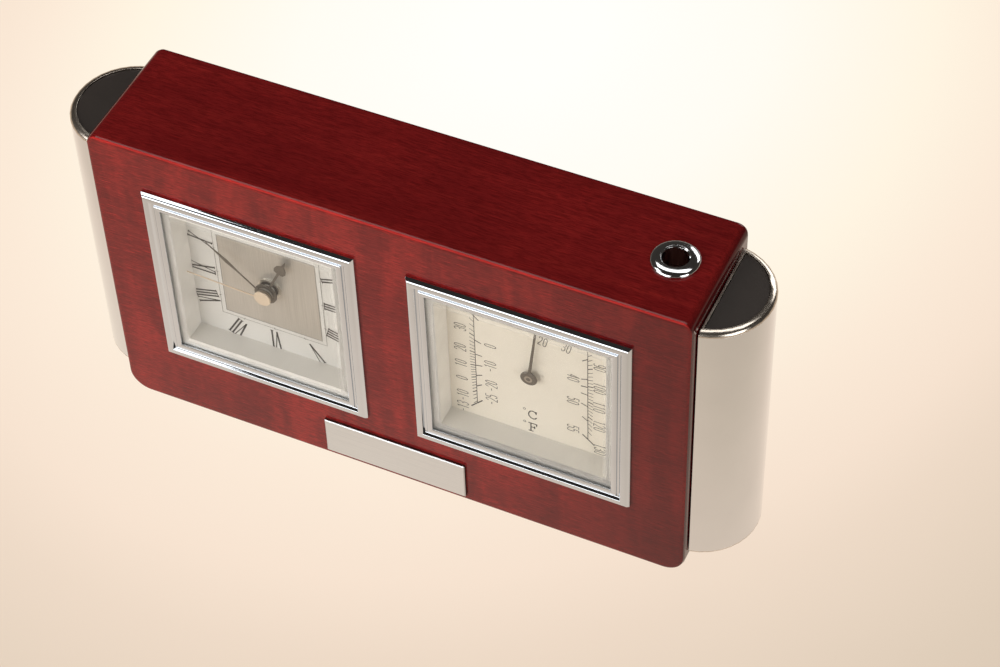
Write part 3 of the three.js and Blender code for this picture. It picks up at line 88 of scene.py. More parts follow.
class Shader:
    """A material or world's node tree, with short calls to add and join nodes."""

    def __init__(self, owner):
        owner.use_nodes = True
        self.tree = owner.node_tree
        self.tree.nodes.clear()

    def add(self, kind, inputs=None, **settings):
        made = self.tree.nodes.new("ShaderNode" + kind)
        for key, value in settings.items():
            setattr(made, key, value)
        for key, value in (inputs or {}).items():
            self.put(made.inputs[key], value)
        return made

    def put(self, socket, value):
        if isinstance(value, bpy.types.NodeSocket):
            self.tree.links.new(value, socket)
        elif socket.type == "RGBA" and len(value) == 3:
            socket.default_value = (*value, 1)
        else:
            socket.default_value = value

    def parts(self, kind, output):
        """The X, Y and Z outputs of a vector that a node gives."""
        vector = self.add(kind).outputs[output]
        return self.add("SeparateXYZ", {"Vector": vector}).outputs

    def place(self, scale, turn=(0, 0, 0)):
        """Object coordinates in millimetres, scaled and turned."""
        coords = self.add("TexCoord").outputs["Object"]
        scaled = tuple(1000 * s for s in scale)
        made = self.add("Mapping", {"Vector": coords, "Scale": scaled, "Rotation": turn})
        return made.outputs["Vector"]

    def noise(self, scale, detail, roughness=0.5, distortion=0.0, turn=(0, 0, 0)):
        """Noise with a number of waves per millimetre along each axis."""
        coords = self.place(scale, turn)
        made = self.add("TexNoise", {"Vector": coords, "Scale": 1.0, "Detail": detail,
                                     "Roughness": roughness, "Distortion": distortion})
        return made.outputs["Fac"]

    def math(self, operation, a, b=0.5):
        return self.add("Math", {0: a, 1: b}, operation=operation).outputs[0]

    def span(self, value, low, high, to_low=0.0, to_high=1.0):
        made = self.add("MapRange", {"Value": value, "From Min": low, "From Max": high,
                                     "To Min": to_low, "To Max": to_high})
        return made.outputs["Result"]

    def between(self, noise, low, high):
        """A number that runs from low to high with a noise."""
        return self.span(noise, NOISE_LOW, NOISE_HIGH, low, high)

    def times(self, a, b):
        return self.math("MULTIPLY", a, b)

    def mix(self, factor, a, b):
        made = self.add("Mix", data_type="RGBA")
        self.put(made.inputs["Factor"], factor)
        self.put(made.inputs["A"], a)
        self.put(made.inputs["B"], b)
        return made.outputs["Result"]

    def vary(self, noise, dark, light):
        """A colour that runs from dark to light with a noise."""
        return self.mix(self.between(noise, 0.0, 1.0), dark, light)

    def cover(self, base, colour, value, low, high, most):
        """A base under a colour whose share grows to most as the value runs from low to high."""
        return self.mix(self.span(value, low, high, 0.0, most), base, colour)

    def blend(self, factor, a, b):
        """Two shaders mixed."""
        return self.add("MixShader", {0: factor, 1: a, 2: b}).outputs["Shader"]

    def ramp(self, value, stops):
        made = self.add("ValToRGB", {"Fac": value})
        elements = made.color_ramp.elements
        while len(elements) < len(stops):
            elements.new(0.5)
        for element, (position, colour) in zip(elements, stops):
            element.position = position
            element.color = (*colour, 1)
        return made.outputs["Color"]

    def bump(self, height, strength, distance, normal=None):
        """A normal roughened by a height, in millimetres."""
        inputs = {"Height": height, "Strength": strength, "Distance": distance * MM}
        if normal is not None:
            inputs["Normal"] = normal
        return self.add("Bump", inputs).outputs["Normal"]

    def soft_edges(self, radius):
        return self.add("Bevel", {"Radius": radius * MM}, samples=BEVEL_SAMPLES).outputs["Normal"]

    def principled(self, **inputs):
        named = {key.replace("_", " ").title(): value for key, value in inputs.items()}
        named = {key.replace("Ior", "IOR"): value for key, value in named.items()}
        return self.add("BsdfPrincipled", named).outputs["BSDF"]

    def finish(self, surface, kind="Material"):
        self.add("Output" + kind, {"Surface": surface})


def material(name):
    made = bpy.data.materials.new(name)
    return made, Shader(made)


def shade_of(colour, share):
    return tuple(share * c for c in colour)


# Materials

WOOD_GROUND = [
    (0.3, (0.165, 0.0085, 0.009)), (0.5, (0.2, 0.0115, 0.0115)), (0.72, (0.245, 0.016, 0.014)),
]
WOOD_CURL_AND_SHEEN = (0.38, 0.022, 0.018)
WOOD_SHADE = (0.11, 0.005, 0.006)
WOOD_FLECK = (0.46, 0.02, 0.018)
WOOD_FIBRE = (0.08, 0.003, 0.0035)
WOOD_PORE = (0.06, 0.0025, 0.003)
WOOD_PAINTED_SHADE_END = (0.06, 0.003, 0.004)
WOOD_PAINTED_EDGE_HIGHLIGHT = (0.8, 0.04, 0.035)
WOOD_PAINTED_SIDE_SHADE = (0.04, 0.0025, 0.003)

# Depths between which the front's figure sets in, and places between which painted shade darkens
# its right end, where less of the lamps' light falls
FRONT_START, FRONT_FULL = -15.5 * MM, -17.0 * MM
SHADE_START, SHADE_FULL = 20 * MM, 75 * MM


def lacquered_wood():
    """Red-stained wood whose grain runs along X, with a soft curly figure, under clear lacquer;
    painted sheen in the figure, painted shade on the front's right end and on the end faces, and a
    painted highlight along the top front edge.
    """
    made, s = material("lacquered_wood_finish")
    spot = s.parts("TexCoord", "Object")
    facing = s.parts("TexCoord", "Normal")
    front = s.span(spot["Y"], FRONT_START, FRONT_FULL)

    bands = s.noise((0.012, 0.3, 0.3), 3.0, 0.5, 0.4)
    base = s.ramp(bands, WOOD_GROUND)
    # The curly figure, stronger on the front: partly the wood's own figure and partly painted sheen
    # in its bright bands
    curl = s.noise((0.1, 0.012, 0.016), 3.0, 0.6, 0.6, turn=(0, 0.12, 0))
    curl_and_sheen = s.times(s.span(curl, 0.42, 0.62, 0.0, 0.75), s.span(front, 0.0, 1.0, 0.15, 1.0))
    base = s.mix(curl_and_sheen, base, WOOD_CURL_AND_SHEEN)
    drift = s.noise((0.012, 0.05, 0.05), 2.0)
    base = s.cover(base, WOOD_SHADE, drift, 0.4, 0.66, 0.5)
    flecks = s.noise((0.22, 4.6, 4.6), 2.0, turn=(0, 0, 0.02))
    flecked = s.times(s.span(flecks, 0.54, 0.68, 0.0, 0.6), s.span(front, 0.0, 1.0, 0.3, 1.0))
    base = s.mix(flecked, base, WOOD_FLECK)
    fibres = s.noise((0.3, 3.4, 3.4), 3.0, 0.7)
    base = s.cover(base, WOOD_FIBRE, fibres, 0.44, 0.6, 0.6)
    pores = s.noise((0.35, 5.5, 5.5), 2.0, turn=(0, 0, 0.01))
    base = s.cover(base, WOOD_PORE, pores, 0.62, 0.74, 0.5)

    # Painted shade: the front darkens towards its right end, where less of the lamps' light falls
    painted_end_shade = s.times(s.span(spot["X"], SHADE_START, SHADE_FULL, 0.0, 0.62), front)
    base = s.mix(painted_end_shade, base, WOOD_PAINTED_SHADE_END)
    # Painted highlight: a bright red line on the rounded edges that face up and to the front
    edge_highlight_mask = s.times(s.times(facing["Y"], -1.0), facing["Z"])
    base = s.cover(base, WOOD_PAINTED_EDGE_HIGHLIGHT, edge_highlight_mask, 0.2, 0.42, 0.9)
    # Painted shade: faces turned to the sides, the body's end faces, darkened
    base = s.cover(base, WOOD_PAINTED_SIDE_SHADE, s.math("ABSOLUTE", facing["X"]), 0.35, 0.9, 0.75)

    waves = s.bump(s.noise((0.05, 0.05, 0.05), 1.0), 0.1, 0.4)
    s.finish(s.principled(base_color=base, roughness=0.5, specular_ior_level=0.0, coat_weight=1.0,
                          coat_roughness=0.03, coat_ior=1.37, coat_normal=waves))
    return made


CHROME_TONES = [(0.68, 0.695, 0.71), (0.75, 0.765, 0.78)]
CAP_TONES = [(0.7, 0.63, 0.55), (0.78, 0.7, 0.61)]
BEZEL_TONES = [(0.57, 0.61, 0.66), (0.64, 0.685, 0.735)]


def chrome(name="chrome_finish", edge=0.12, haze_low=0.02, haze_high=0.07, tones=CHROME_TONES):
    """Polished chrome with a breath of haze and wipe marks."""
    made, s = material(name)
    haze = s.noise((0.07, 0.07, 0.07), 3.0)
    wipe = s.noise((0.9, 0.9, 0.12), 2.0)
    hazy = s.span(haze, 0.35, 0.75, haze_low, haze_high)
    rough = s.math("ADD", hazy, s.span(wipe, 0.5, 0.8, 0.0, 0.03))
    waves = s.bump(s.noise((0.035, 0.035, 0.02), 1.0), 0.1, 0.3, s.soft_edges(edge))
    tint = s.mix(haze, *tones)
    s.finish(s.principled(base_color=tint, metallic=1.0, roughness=rough, normal=waves))
    return made


def satin_plate():
    """Brushed silver sheet, much darker on its cut edges."""
    made, s = material("satin_plate_finish")
    brushed = s.noise((0.05, 6, 6), 3.0, 0.6)
    grain = s.noise((1.5, 1.5, 1.5), 2.0)
    face = s.vary(brushed, (0.62, 0.645, 0.67), (0.7, 0.72, 0.74))
    flatness = s.math("ABSOLUTE", s.parts("TexCoord", "Normal")["Y"])
    tint = s.mix(s.span(flatness, 0.3, 0.9), (0.16, 0.15, 0.14), face)
    normal = s.bump(brushed, 0.25, 0.02, s.soft_edges(0.05))
    s.finish(s.principled(base_color=tint, metallic=1.0, normal=normal,
                          roughness=s.between(grain, 0.28, 0.4)))
    return made


def moulded(name, colour, roughness, grain=0.15, coat=0.0):
    """Moulded plastic or paint, with a fine texture and slightly uneven colour."""
    made, s = material(name)
    fine = s.noise((6, 6, 6), 2.0)
    broad = s.noise((0.15, 0.15, 0.15), 3.0)
    tint = s.vary(broad, shade_of(colour, 0.86), colour)
    normal = s.bump(fine, grain, 0.03, s.soft_edges(0.1))
    s.finish(s.principled(base_color=tint, normal=normal, coat_weight=coat, coat_roughness=0.15,
                          roughness=s.between(fine, 0.9 * roughness, 1.1 * roughness)))
    return made


def plated(name, colour, roughness):
    """Plain metal with fine machining marks."""
    made, s = material(name)
    marks = s.noise((0.4, 0.4, 5), 3.0)
    tint = s.vary(marks, shade_of(colour, 0.8), colour)
    normal = s.bump(marks, 0.15, 0.02, s.soft_edges(0.05))
    s.finish(s.principled(base_color=tint, metallic=1.0, normal=normal,
                          roughness=s.between(marks, 0.8 * roughness, 1.2 * roughness)))
    return made


def felt():
    made, s = material("felt_finish")
    fibres = s.noise((4, 4, 4), 4.0, 0.7)
    tint = s.vary(fibres, (0.02, 0.018, 0.018), (0.075, 0.07, 0.07))
    s.finish(s.principled(base_color=tint, roughness=0.95, sheen_weight=0.4,
                          normal=s.bump(fibres, 0.8, 0.15)))
    return made


# A face that leans more than this from the lens's front or back counts as its border
LENS_FLAT = 0.998
LENS_IOR = 1.45


def clear_lens():
    """A lens whose flat middle is clear and whose border and sides are a whitish diffuse, a painted
    highlight for the light its bevelled edge catches.
    """
    made, s = material("clear_lens_finish")
    smears = s.noise((0.12, 0.12, 0.12), 3.0)
    border_mottle = s.noise((0.12, 0.12, 0.12), 2.0)
    clear = s.add("BsdfTransparent", {"Color": (0.985, 0.985, 0.98)}).outputs["BSDF"]
    # Painted highlight: whitish diffuse on the border and sides
    edge_highlight_tint = s.mix(border_mottle, (0.78, 0.76, 0.72), (0.9, 0.88, 0.84))
    edge_highlight_shader = s.add("BsdfDiffuse", {"Color": edge_highlight_tint}).outputs["BSDF"]
    border = s.blend(s.between(border_mottle, 0.1, 0.18), clear, edge_highlight_shader)
    flatness = s.math("ABSOLUTE", s.parts("NewGeometry", "True Normal")["Y"])
    through = s.blend(s.math("LESS_THAN", flatness, LENS_FLAT), clear, border)
    polish = s.span(smears, 0.4, 0.8, 0.01, 0.05)
    gloss = s.add("BsdfGlossy", {"Color": (1, 1, 1), "Roughness": polish}).outputs["BSDF"]
    outside = s.math("SUBTRACT", 1.0, s.add("NewGeometry").outputs["Backfacing"])
    mirror = s.times(s.add("Fresnel", {"IOR": LENS_IOR}).outputs["Fac"], outside)
    s.finish(s.blend(mirror, through, gloss))
    return made


def dial_paper(name, low, high):
    """Printed card, faintly fibrous and uneven."""
    made, s = material(name)
    fibres = s.noise((2.5, 2.5, 2.5), 3.0)
    broad = s.noise((0.05, 0.05, 0.05), 2.0)
    uneven = s.math("ADD", s.between(fibres, 0.0, 0.5), s.between(broad, 0.0, 0.5))
    tint = s.mix(uneven, low, high)
    s.finish(s.principled(base_color=tint, roughness=0.45, specular_ior_level=0.4,
                          normal=s.bump(fibres, 0.05, 0.02)))
    return made


def brushed_square():
    """Silver-grey metal with brush marks that run up and down."""
    made, s = material("dial_square_finish")
    marks = s.noise((5, 1, 0.05), 4.0, 0.65)
    sheen = s.noise((0.09, 0.1, 0.02), 2.0)
    tint = s.vary(marks, (0.42, 0.4, 0.365), (0.57, 0.545, 0.5))
    tint = s.cover(tint, (0.65, 0.62, 0.58), sheen, 0.4, 0.7, 0.35)
    s.finish(s.principled(base_color=tint, metallic=0.55, normal=s.bump(marks, 0.2, 0.02),
                          roughness=s.between(marks, 0.32, 0.45)))
    return made


# Half the width over which a pale ring fades into the metal round it
RING_FADE = 0.06 * MM


def pale_ringed_metal(name, centre, inner, outer, pale):
    """Dark metal, pale between two radii, in millimetres, round an axis along Y."""
    made, s = material(name)
    coords = s.add("TexCoord").outputs["Object"]
    flat = s.add("VectorMath", {0: coords, 1: (1, 0, 1)}, operation="MULTIPLY").outputs["Vector"]
    apart = s.add("VectorMath", {0: flat, 1: (centre.x, 0, centre.z)}, operation="DISTANCE")
    middle, reach = (inner + outer) / 2 * MM, (outer - inner) / 2 * MM
    off = s.math("ABSOLUTE", s.math("SUBTRACT", apart.outputs["Value"], middle))
    marks = s.noise((2, 0.4, 2), 3.0)
    tint = s.vary(marks, (0.13, 0.12, 0.105), (0.19, 0.175, 0.155))
    tint = s.mix(s.span(off, reach - RING_FADE, reach + RING_FADE, 0.85, 0.0), tint, pale)
    normal = s.bump(marks, 0.15, 0.02, s.soft_edges(0.05))
    s.finish(s.principled(base_color=tint, metallic=0.8, normal=normal,
                          roughness=s.between(marks, 0.4, 0.55)))
    return made


def well_plastic():
    """Pale plastic with painted light: lighter on the upright side walls of the well, darker on the
    walls that face up or down.
    """
    made, s = material("well_finish")
    broad = s.noise((0.15, 0.15, 0.15), 3.0)
    fine = s.noise((6, 6, 6), 2.0)
    facing_up_down = s.math("ABSOLUTE", s.parts("TexCoord", "Normal")["Z"])
    # Painted light and shade by facing: walls that face up or down darker than the rest
    tint = s.mix(s.span(facing_up_down, 0.3, 0.9), (0.97, 0.95, 0.91), (0.72, 0.7, 0.66))
    tint = s.mix(s.between(broad, 0.0, 0.3), tint, (0.7, 0.68, 0.64))
    s.finish(s.principled(base_color=tint, roughness=0.25, normal=s.bump(fine, 0.03, 0.03)))
    return made


def ink(name, colour):
    made, s = material(name)
    cover = s.noise((9, 9, 9), 2.0)
    s.finish(s.principled(base_color=s.vary(cover, colour, shade_of(colour, 2.2)), roughness=0.5))
    return made


def wound_copper():
    made, s = material("copper_winding_finish")
    turns = s.add("TexWave", {"Vector": s.place((1, 1, 1)), "Scale": 2.2, "Distortion": 0.2},
                  wave_type="BANDS", bands_direction="X").outputs["Fac"]
    tint = s.mix(turns, (0.25, 0.075, 0.03), (0.62, 0.24, 0.1))
    s.finish(s.principled(base_color=tint, metallic=0.9, roughness=0.3,
                          normal=s.bump(turns, 0.6, 0.1)))
    return made


SLOT_FINISH = {
    "lacquered_wood": lacquered_wood(),
    "felt_pad": felt(),
    "satin_plate": satin_plate(),
    "chrome": chrome(),
    "black_inlay": moulded("black_inlay_finish", (0.042, 0.033, 0.028), 0.35, 0.05, 0.2),
    "black_plastic": moulded("black_plastic_finish", (0.02, 0.02, 0.021), 0.45, 0.4),
    "grey_plastic": moulded("grey_plastic_finish", (0.86, 0.84, 0.8), 0.22, 0.03, 0.4),
    "rubber_band": moulded("rubber_finish", (0.022, 0.022, 0.022), 0.75, 0.5),
    "clear_lens": clear_lens(),
    "clock_dial": dial_paper("clock_dial_finish", (0.68, 0.665, 0.635), (0.74, 0.73, 0.7)),
    "thermometer_dial": dial_paper("thermometer_dial_finish", (0.8, 0.745, 0.645),
                                   (0.86, 0.81, 0.715)),
    "gunmetal": plated("gunmetal_finish", (0.21, 0.195, 0.175), 0.48),
    "cream": moulded("cream_finish", (0.74, 0.6, 0.45), 0.4, 0.05, 0.2),
    "steel": plated("steel_finish", (0.62, 0.61, 0.6), 0.25),
    "brass": plated("brass_finish", (0.62, 0.45, 0.2), 0.28),
    "acetal": moulded("acetal_finish", (0.78, 0.77, 0.73), 0.4, 0.1),
    "copper_winding": wound_copper(),
    "circuit_board": moulded("circuit_board_finish", (0.03, 0.14, 0.06), 0.35, 0.2, 0.3),
}
SLOT_OF = {part["node"]: part["material_slot"] for part in frame["record"]["subparts"]}
INK = ink("print_ink", (0.025, 0.023, 0.022))
GREY_INK = ink("print_ink_grey", (0.11, 0.1, 0.09))
SQUARE_FINISH = brushed_square()
WELL_FINISH = well_plastic()
NUT_FINISH = plated("nut_finish", (0.75, 0.72, 0.66), 0.42)
CAP_CHROME = chrome("cap_chrome_finish", 0.2, 0.2, 0.3, CAP_TONES)
BEZEL_CHROME = chrome("bezel_chrome_finish", 0.05, tones=BEZEL_TONES)
RING_CHROME = chrome("ring_chrome_finish", 0.12, 0.07, 0.13)
# Partly the bore's own reddish brown and partly painted light: the pen socket's tube is made
# lighter for the light and reddish reflections inside the bore
SOCKET_LINING_PAINTED_LIGHT = moulded("socket_lining_painted_light_finish", (0.32, 0.12, 0.09), 0.35, 0.1, 0.2)
HANDS_FINISH = pale_ringed_metal("hands_finish", centre_of(CLOCK_DIAL), -2.1, 2.1, (0.6, 0.56, 0.5))
POINTER_FINISH = pale_ringed_metal("pointer_finish", centre_of(THERMOMETER_DIAL), 0.6, 1.1,
                              (0.42, 0.38, 0.33))


def dress(obj, finish):
    obj.data.materials.clear()
    obj.data.materials.append(finish)


for node_name, node_object in frame["nodes"].items():
    dress(node_object, SLOT_FINISH[SLOT_OF[node_name]])


# Mesh pieces

# Corners closer than WELD are joined and faces within SAME_PLANE are one; edges under CREASE are
# shaded round
WELD = 0.001 * MM
SAME_PLANE = math.radians(0.3)
CREASE = math.radians(40)
ROUNDED_SLOTS = ("chrome", "lacquered_wood", "black_inlay", "gunmetal", "cream")


def new_object(name, mesh, finish, body):
    made = bpy.data.objects.new(name, mesh)
    SCENE.collection.objects.link(made)
    dress(made, finish)
    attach(made, body)
    return made


def body_with(node):
    for body, members in frame["record"]["behaviour"]["bodies"].items():
        if node in members:
            return body


def rounded_copy(node):
    """A welded copy of a node whose curved faces are shaded as curves; it stands for the node."""
    bm = bmesh.new()
    bm.from_mesh(frame["nodes"][node].data)
    bmesh.ops.remove_doubles(bm, verts=bm.verts, dist=WELD)
    bmesh.ops.dissolve_limit(bm, angle_limit=SAME_PLANE, verts=bm.verts, edges=bm.edges)
    for face in bm.faces:
        face.smooth = True
    for edge in bm.edges:
        edge.smooth = len(edge.link_faces) == 2 and edge.calc_face_angle() < CREASE
    mesh = bpy.data.meshes.new(node + "_rounded")
    bm.to_mesh(mesh)
    bm.free()
    if "custom_normal" in mesh.attributes:
        mesh.attributes.remove(mesh.attributes["custom_normal"])
    slot = SLOT_OF[node]
    made = new_object(node + "_rounded", mesh, SLOT_FINISH[slot], body_with(node))
    weighted = made.modifiers.new("weighted", "WEIGHTED_NORMAL")
    weighted.keep_sharp = True
    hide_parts(node)
    return made


for node_name in frame["nodes"]:
    if SLOT_OF[node_name] in ROUNDED_SLOTS and not node_name.endswith("bezel"):
        rounded_copy(node_name)
dress(rounded_copy("centre_nut"), NUT_FINISH)
for side in ("left", "right"):
    for end in ("top", "bottom"):
        dress(SCENE.objects[f"{side}_column_{end}_cap_rounded"], CAP_CHROME)
for node_name in ("hour_hand", "minute_hand"):
    dress(SCENE.objects[node_name + "_rounded"], HANDS_FINISH)
dress(SCENE.objects["thermometer_pointer_rounded"], POINTER_FINISH)
for node_name in ("clock_well", "thermometer_well"):
    dress(frame["nodes"][node_name], WELL_FINISH)
dress(SCENE.objects["pen_socket_ring_rounded"], RING_CHROME)
dress(frame["nodes"]["pen_socket_tube"], SOCKET_LINING_PAINTED_LIGHT)


# Bezels: a moulding swept round a square, mitred at the corners

# Distance in from the outer edge and height over the wood's face, in millimetres
MOULDING = [
    (0, 0), (0, 0.55), (0.08, 0.75), (0.5, 1.38), (0.75, 1.6), (1.05, 1.71), (1.5, 1.75),
    (2.0, 1.74), (2.28, 1.68), (2.45, 1.44), (2.75, 0.98), (3.0, 0.9), (3.4, 0.9), (3.5, 1.2),
    (3.7, 1.35), (4.0, 1.4), (4.6, 1.33), (5.0, 1.155),
]
MOULDING_STEPS = 4
BEZEL_WIDTH = 5.0
BEZEL_CREASE = math.radians(32)
BEZEL_CORNERS = ((-1, -1), (1, -1), (1, 1), (-1, 1))

# The rebate that holds the lens and the skirt behind it: millimetres over the face, out and in
LENS_PROUD = 0.85
REBATE = 1.0
SKIRT_INSET = 3.3


def smooth_run(points, steps):
    """Points on a smooth curve through the given ones, which never swings past them."""
    run = []
    for i in range(len(points) - 1):
        p0 = points[max(i - 1, 0)]
        p1, p2 = points[i], points[i + 1]
        p3 = points[min(i + 2, len(points) - 1)]
        for k in range(steps):
            t = k / steps
            spot = []
            for a, b, c, d in zip(p0, p1, p2, p3):
                value = 0.5 * (2 * b + (c - a) * t + (2 * a - 5 * b + 4 * c - d) * t * t
                               + (3 * b - a - 3 * c + d) * t ** 3)
                spot.append(min(max(value, min(b, c)), max(b, c)))
            run.append(tuple(spot))
    return run + [points[-1]]


def bezel_profile(half, back):
    """The closed section of a bezel, as distances from its centre and depths, in millimetres."""
    face = WOOD_FACE / MM
    run = smooth_run(MOULDING, MOULDING_STEPS)
    profile = [(half - inward, face - height) for inward, height in run]
    opening = half - BEZEL_WIDTH
    rebate = opening + REBATE
    skirt = half - SKIRT_INSET
    lens_front = face - LENS_PROUD
    return profile + [(opening, lens_front), (rebate, lens_front), (rebate, back),
                      (skirt, back), (skirt, face)]


def bezel(node, body):
    low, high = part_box(node)
    middle = (low + high) / 2
    profile = bezel_profile((high.x - low.x) / 2 / MM, high.y / MM)
    bm = bmesh.new()
    rings = []
    for radius, depth in profile:
        corners = [(middle.x + right * radius * MM, depth * MM, middle.z + up * radius * MM)
                   for right, up in BEZEL_CORNERS]
        rings.append([bm.verts.new(corner) for corner in corners])
    mitres = set()
    for ring, following in zip(rings, rings[1:] + rings[:1]):
        for k in range(4):
            bm.faces.new((ring[k], ring[(k + 1) % 4], following[(k + 1) % 4], following[k]))
        for k in range(4):
            mitres.add(bm.edges.get((ring[k], following[k])))
    bmesh.ops.recalc_face_normals(bm, faces=bm.faces)
    for face in bm.faces:
        face.smooth = True
    for edge in bm.edges:
        edge.smooth = edge not in mitres and edge.calc_face_angle() < BEZEL_CREASE
    mesh = bpy.data.meshes.new(node + "_moulded")
    bm.to_mesh(mesh)
    bm.free()
    made = new_object(node + "_moulded", mesh, BEZEL_CHROME, body)
    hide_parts(node)


bezel("clock_bezel", "clock_insert")
bezel("thermometer_bezel", "thermometer_insert")


# Printing: flat shapes in x and z, in millimetres from the dial's centre

# How far one layer of print lies over the one below it
PRINT_LIFT = 0.03 * MM

# How far a bar in a row of bars runs past its ends, as a share of its width
OVERLAP = 0.35


def stroke(start, end, width):
    """A straight bar from start to end as one four-sided face."""
    a, b = Vector(start), Vector(end)
    along = (b - a).normalized()
    side = Vector((-along.y, along.x)) * width / 2
    return [a - side, b - side, b + side, a + side]


def run_of_strokes(points, width):
    """Bars along a row of points, each a little longer than its step so that the corners close."""
    bars = []
    for start, end in zip(points, points[1:]):
        a, b = Vector(start), Vector(end)
        spare = (b - a).normalized() * width * OVERLAP
        bars.append(stroke(a - spare, b + spare, width))
    return bars


def placed(shapes, centre, turn):
    """Shapes turned clockwise by an angle in degrees and moved to a centre."""
    angle = -math.radians(turn)
    c, s = math.cos(angle), math.sin(angle)
    x, z = centre
    return [[Vector((x + p[0] * c - p[1] * s, z + p[0] * s + p[1] * c)) for p in shape]
            for shape in shapes]


def print_on(name, shapes, dial_box, body, finish, layer):
    """Flat printed shapes, a number of layers over a dial's face."""
    middle = centre_of(dial_box)
    y = dial_box[0].y - layer * PRINT_LIFT
    bm = bmesh.new()
    for shape in shapes:
        corners = [bm.verts.new((middle.x + p[0] * MM, y, middle.z + p[1] * MM)) for p in shape]
        face = bm.faces.new(corners)
        face.normal_update()
        if face.normal.y > 0:
            face.normal_flip()
    mesh = bpy.data.meshes.new(name)
    bm.to_mesh(mesh)
    bm.free()
    new_object(name, mesh, finish, body)


# The clock's dial

ROMAN = {
    1: "I", 2: "II", 3: "III", 4: "IIII", 5: "V", 6: "VI", 7: "VII", 8: "VIII", 9: "IX", 10: "X",
    11: "XI", 12: "XII",
}

# Each hour's x, z and clockwise turn in degrees
ROMAN_PLACES = {
    12: (0, 19.6, 0), 1: (11.2, 19.6, 25), 2: (19.2, 10.6, 72), 3: (19.4, 0, 90),
    4: (19.4, -10.8, 106), 5: (11.9, -20, 150), 6: (0, -20, 180), 7: (-11.2, -20, 210),
    8: (-19.5, -11.0, 254), 9: (-19.6, -0.3, 270), 10: (-19.4, 10.4, 288), 11: (-11.2, 19.6, 335),
}
ROMAN_HEIGHT = 6.9
ROMAN_WIDTH = {"I": 0.95, "V": 2.05, "X": 2.15}
LEG_INSET = 0.28
THICK = 0.5
THIN = 0.27
SERIF = 0.85
THIN_SERIF = 0.8 * SERIF

# The brushed square, the line frame outside it and the marks across that frame
SQUARE_HALF = 14.2
SQUARE_LINE = 0.14
NUT_HOLE = 2.8
HOLE_PARTS = 8
TRACK_HALF = 15.5
TRACK_LINE = 0.12
MARK_REACH = 0.45
MARK_LINE = 0.13


def roman(text):
    half = ROMAN_HEIGHT / 2
    total = sum(ROMAN_WIDTH[letter] for letter in text)
    x = -total / 2
    shapes = []
    for letter in text:
        wide = ROMAN_WIDTH[letter]
        mid, reach = x + wide / 2, wide / 2 - LEG_INSET
        if letter == "I":
            legs = [(mid, mid, THICK)]
        elif letter == "V":
            legs = [(mid - reach, mid, THICK), (mid + reach, mid, THIN)]
        else:
            legs = [(mid - reach, mid + reach, THICK), (mid + reach, mid - reach, THIN)]
        for top, bottom, width in legs:
            shapes.append(stroke((bottom, -half), (top, half), width))
            serif = (SERIF if width == THICK else THIN_SERIF) / 2
            shapes.append(stroke((top - serif, half), (top + serif, half), THIN))
            if letter != "V":
                shapes.append(stroke((bottom - serif, -half), (bottom + serif, -half), THIN))
        x += wide
    return shapes


def square_outline(half, width):
    corners = [(-half, -half), (half, -half), (half, half), (-half, half), (-half, -half)]
    return run_of_strokes(corners, width)


def square_with_hole(half, hole, parts):
    """A square with a round hole, as a ring of four-sided faces, so many to each side."""
    outer, inner = [], []
    for i in range(4 * parts):
        angle = 2 * math.pi * i / (4 * parts)
        c, s = math.cos(angle), math.sin(angle)
        reach = half / max(abs(c), abs(s))
        outer.append((reach * c, reach * s))
        inner.append((hole * c, hole * s))
    count = len(outer)
    return [[outer[i], outer[(i + 1) % count], inner[(i + 1) % count], inner[i]]
            for i in range(count)]


def clock_printing():
    lines = square_outline(SQUARE_HALF, SQUARE_LINE) + square_outline(TRACK_HALF, TRACK_LINE)
    for minute in range(0, 60, 5):
        angle = math.radians(6 * minute)
        c, s = math.sin(angle), math.cos(angle)
        reach = TRACK_HALF / max(abs(c), abs(s))
        start, end = reach - MARK_REACH, reach + MARK_REACH
        lines.append(stroke((start * c, start * s), (end * c, end * s), MARK_LINE))
    numerals = []
    for hour, text in ROMAN.items():
        x, z, turn = ROMAN_PLACES[hour]
        numerals += placed(roman(text), (x, z), turn)
    square = square_with_hole(SQUARE_HALF, NUT_HOLE, HOLE_PARTS)
    for name, shapes, finish, layer in (("dial_square", square, SQUARE_FINISH, 1.0),
                                        ("dial_lines", lines, GREY_INK, 2.0),
                                        ("dial_numerals", numerals, INK, 2.0)):
        print_on(name, shapes, CLOCK_DIAL, "clock_insert", finish, layer)


# The thermometer's dial

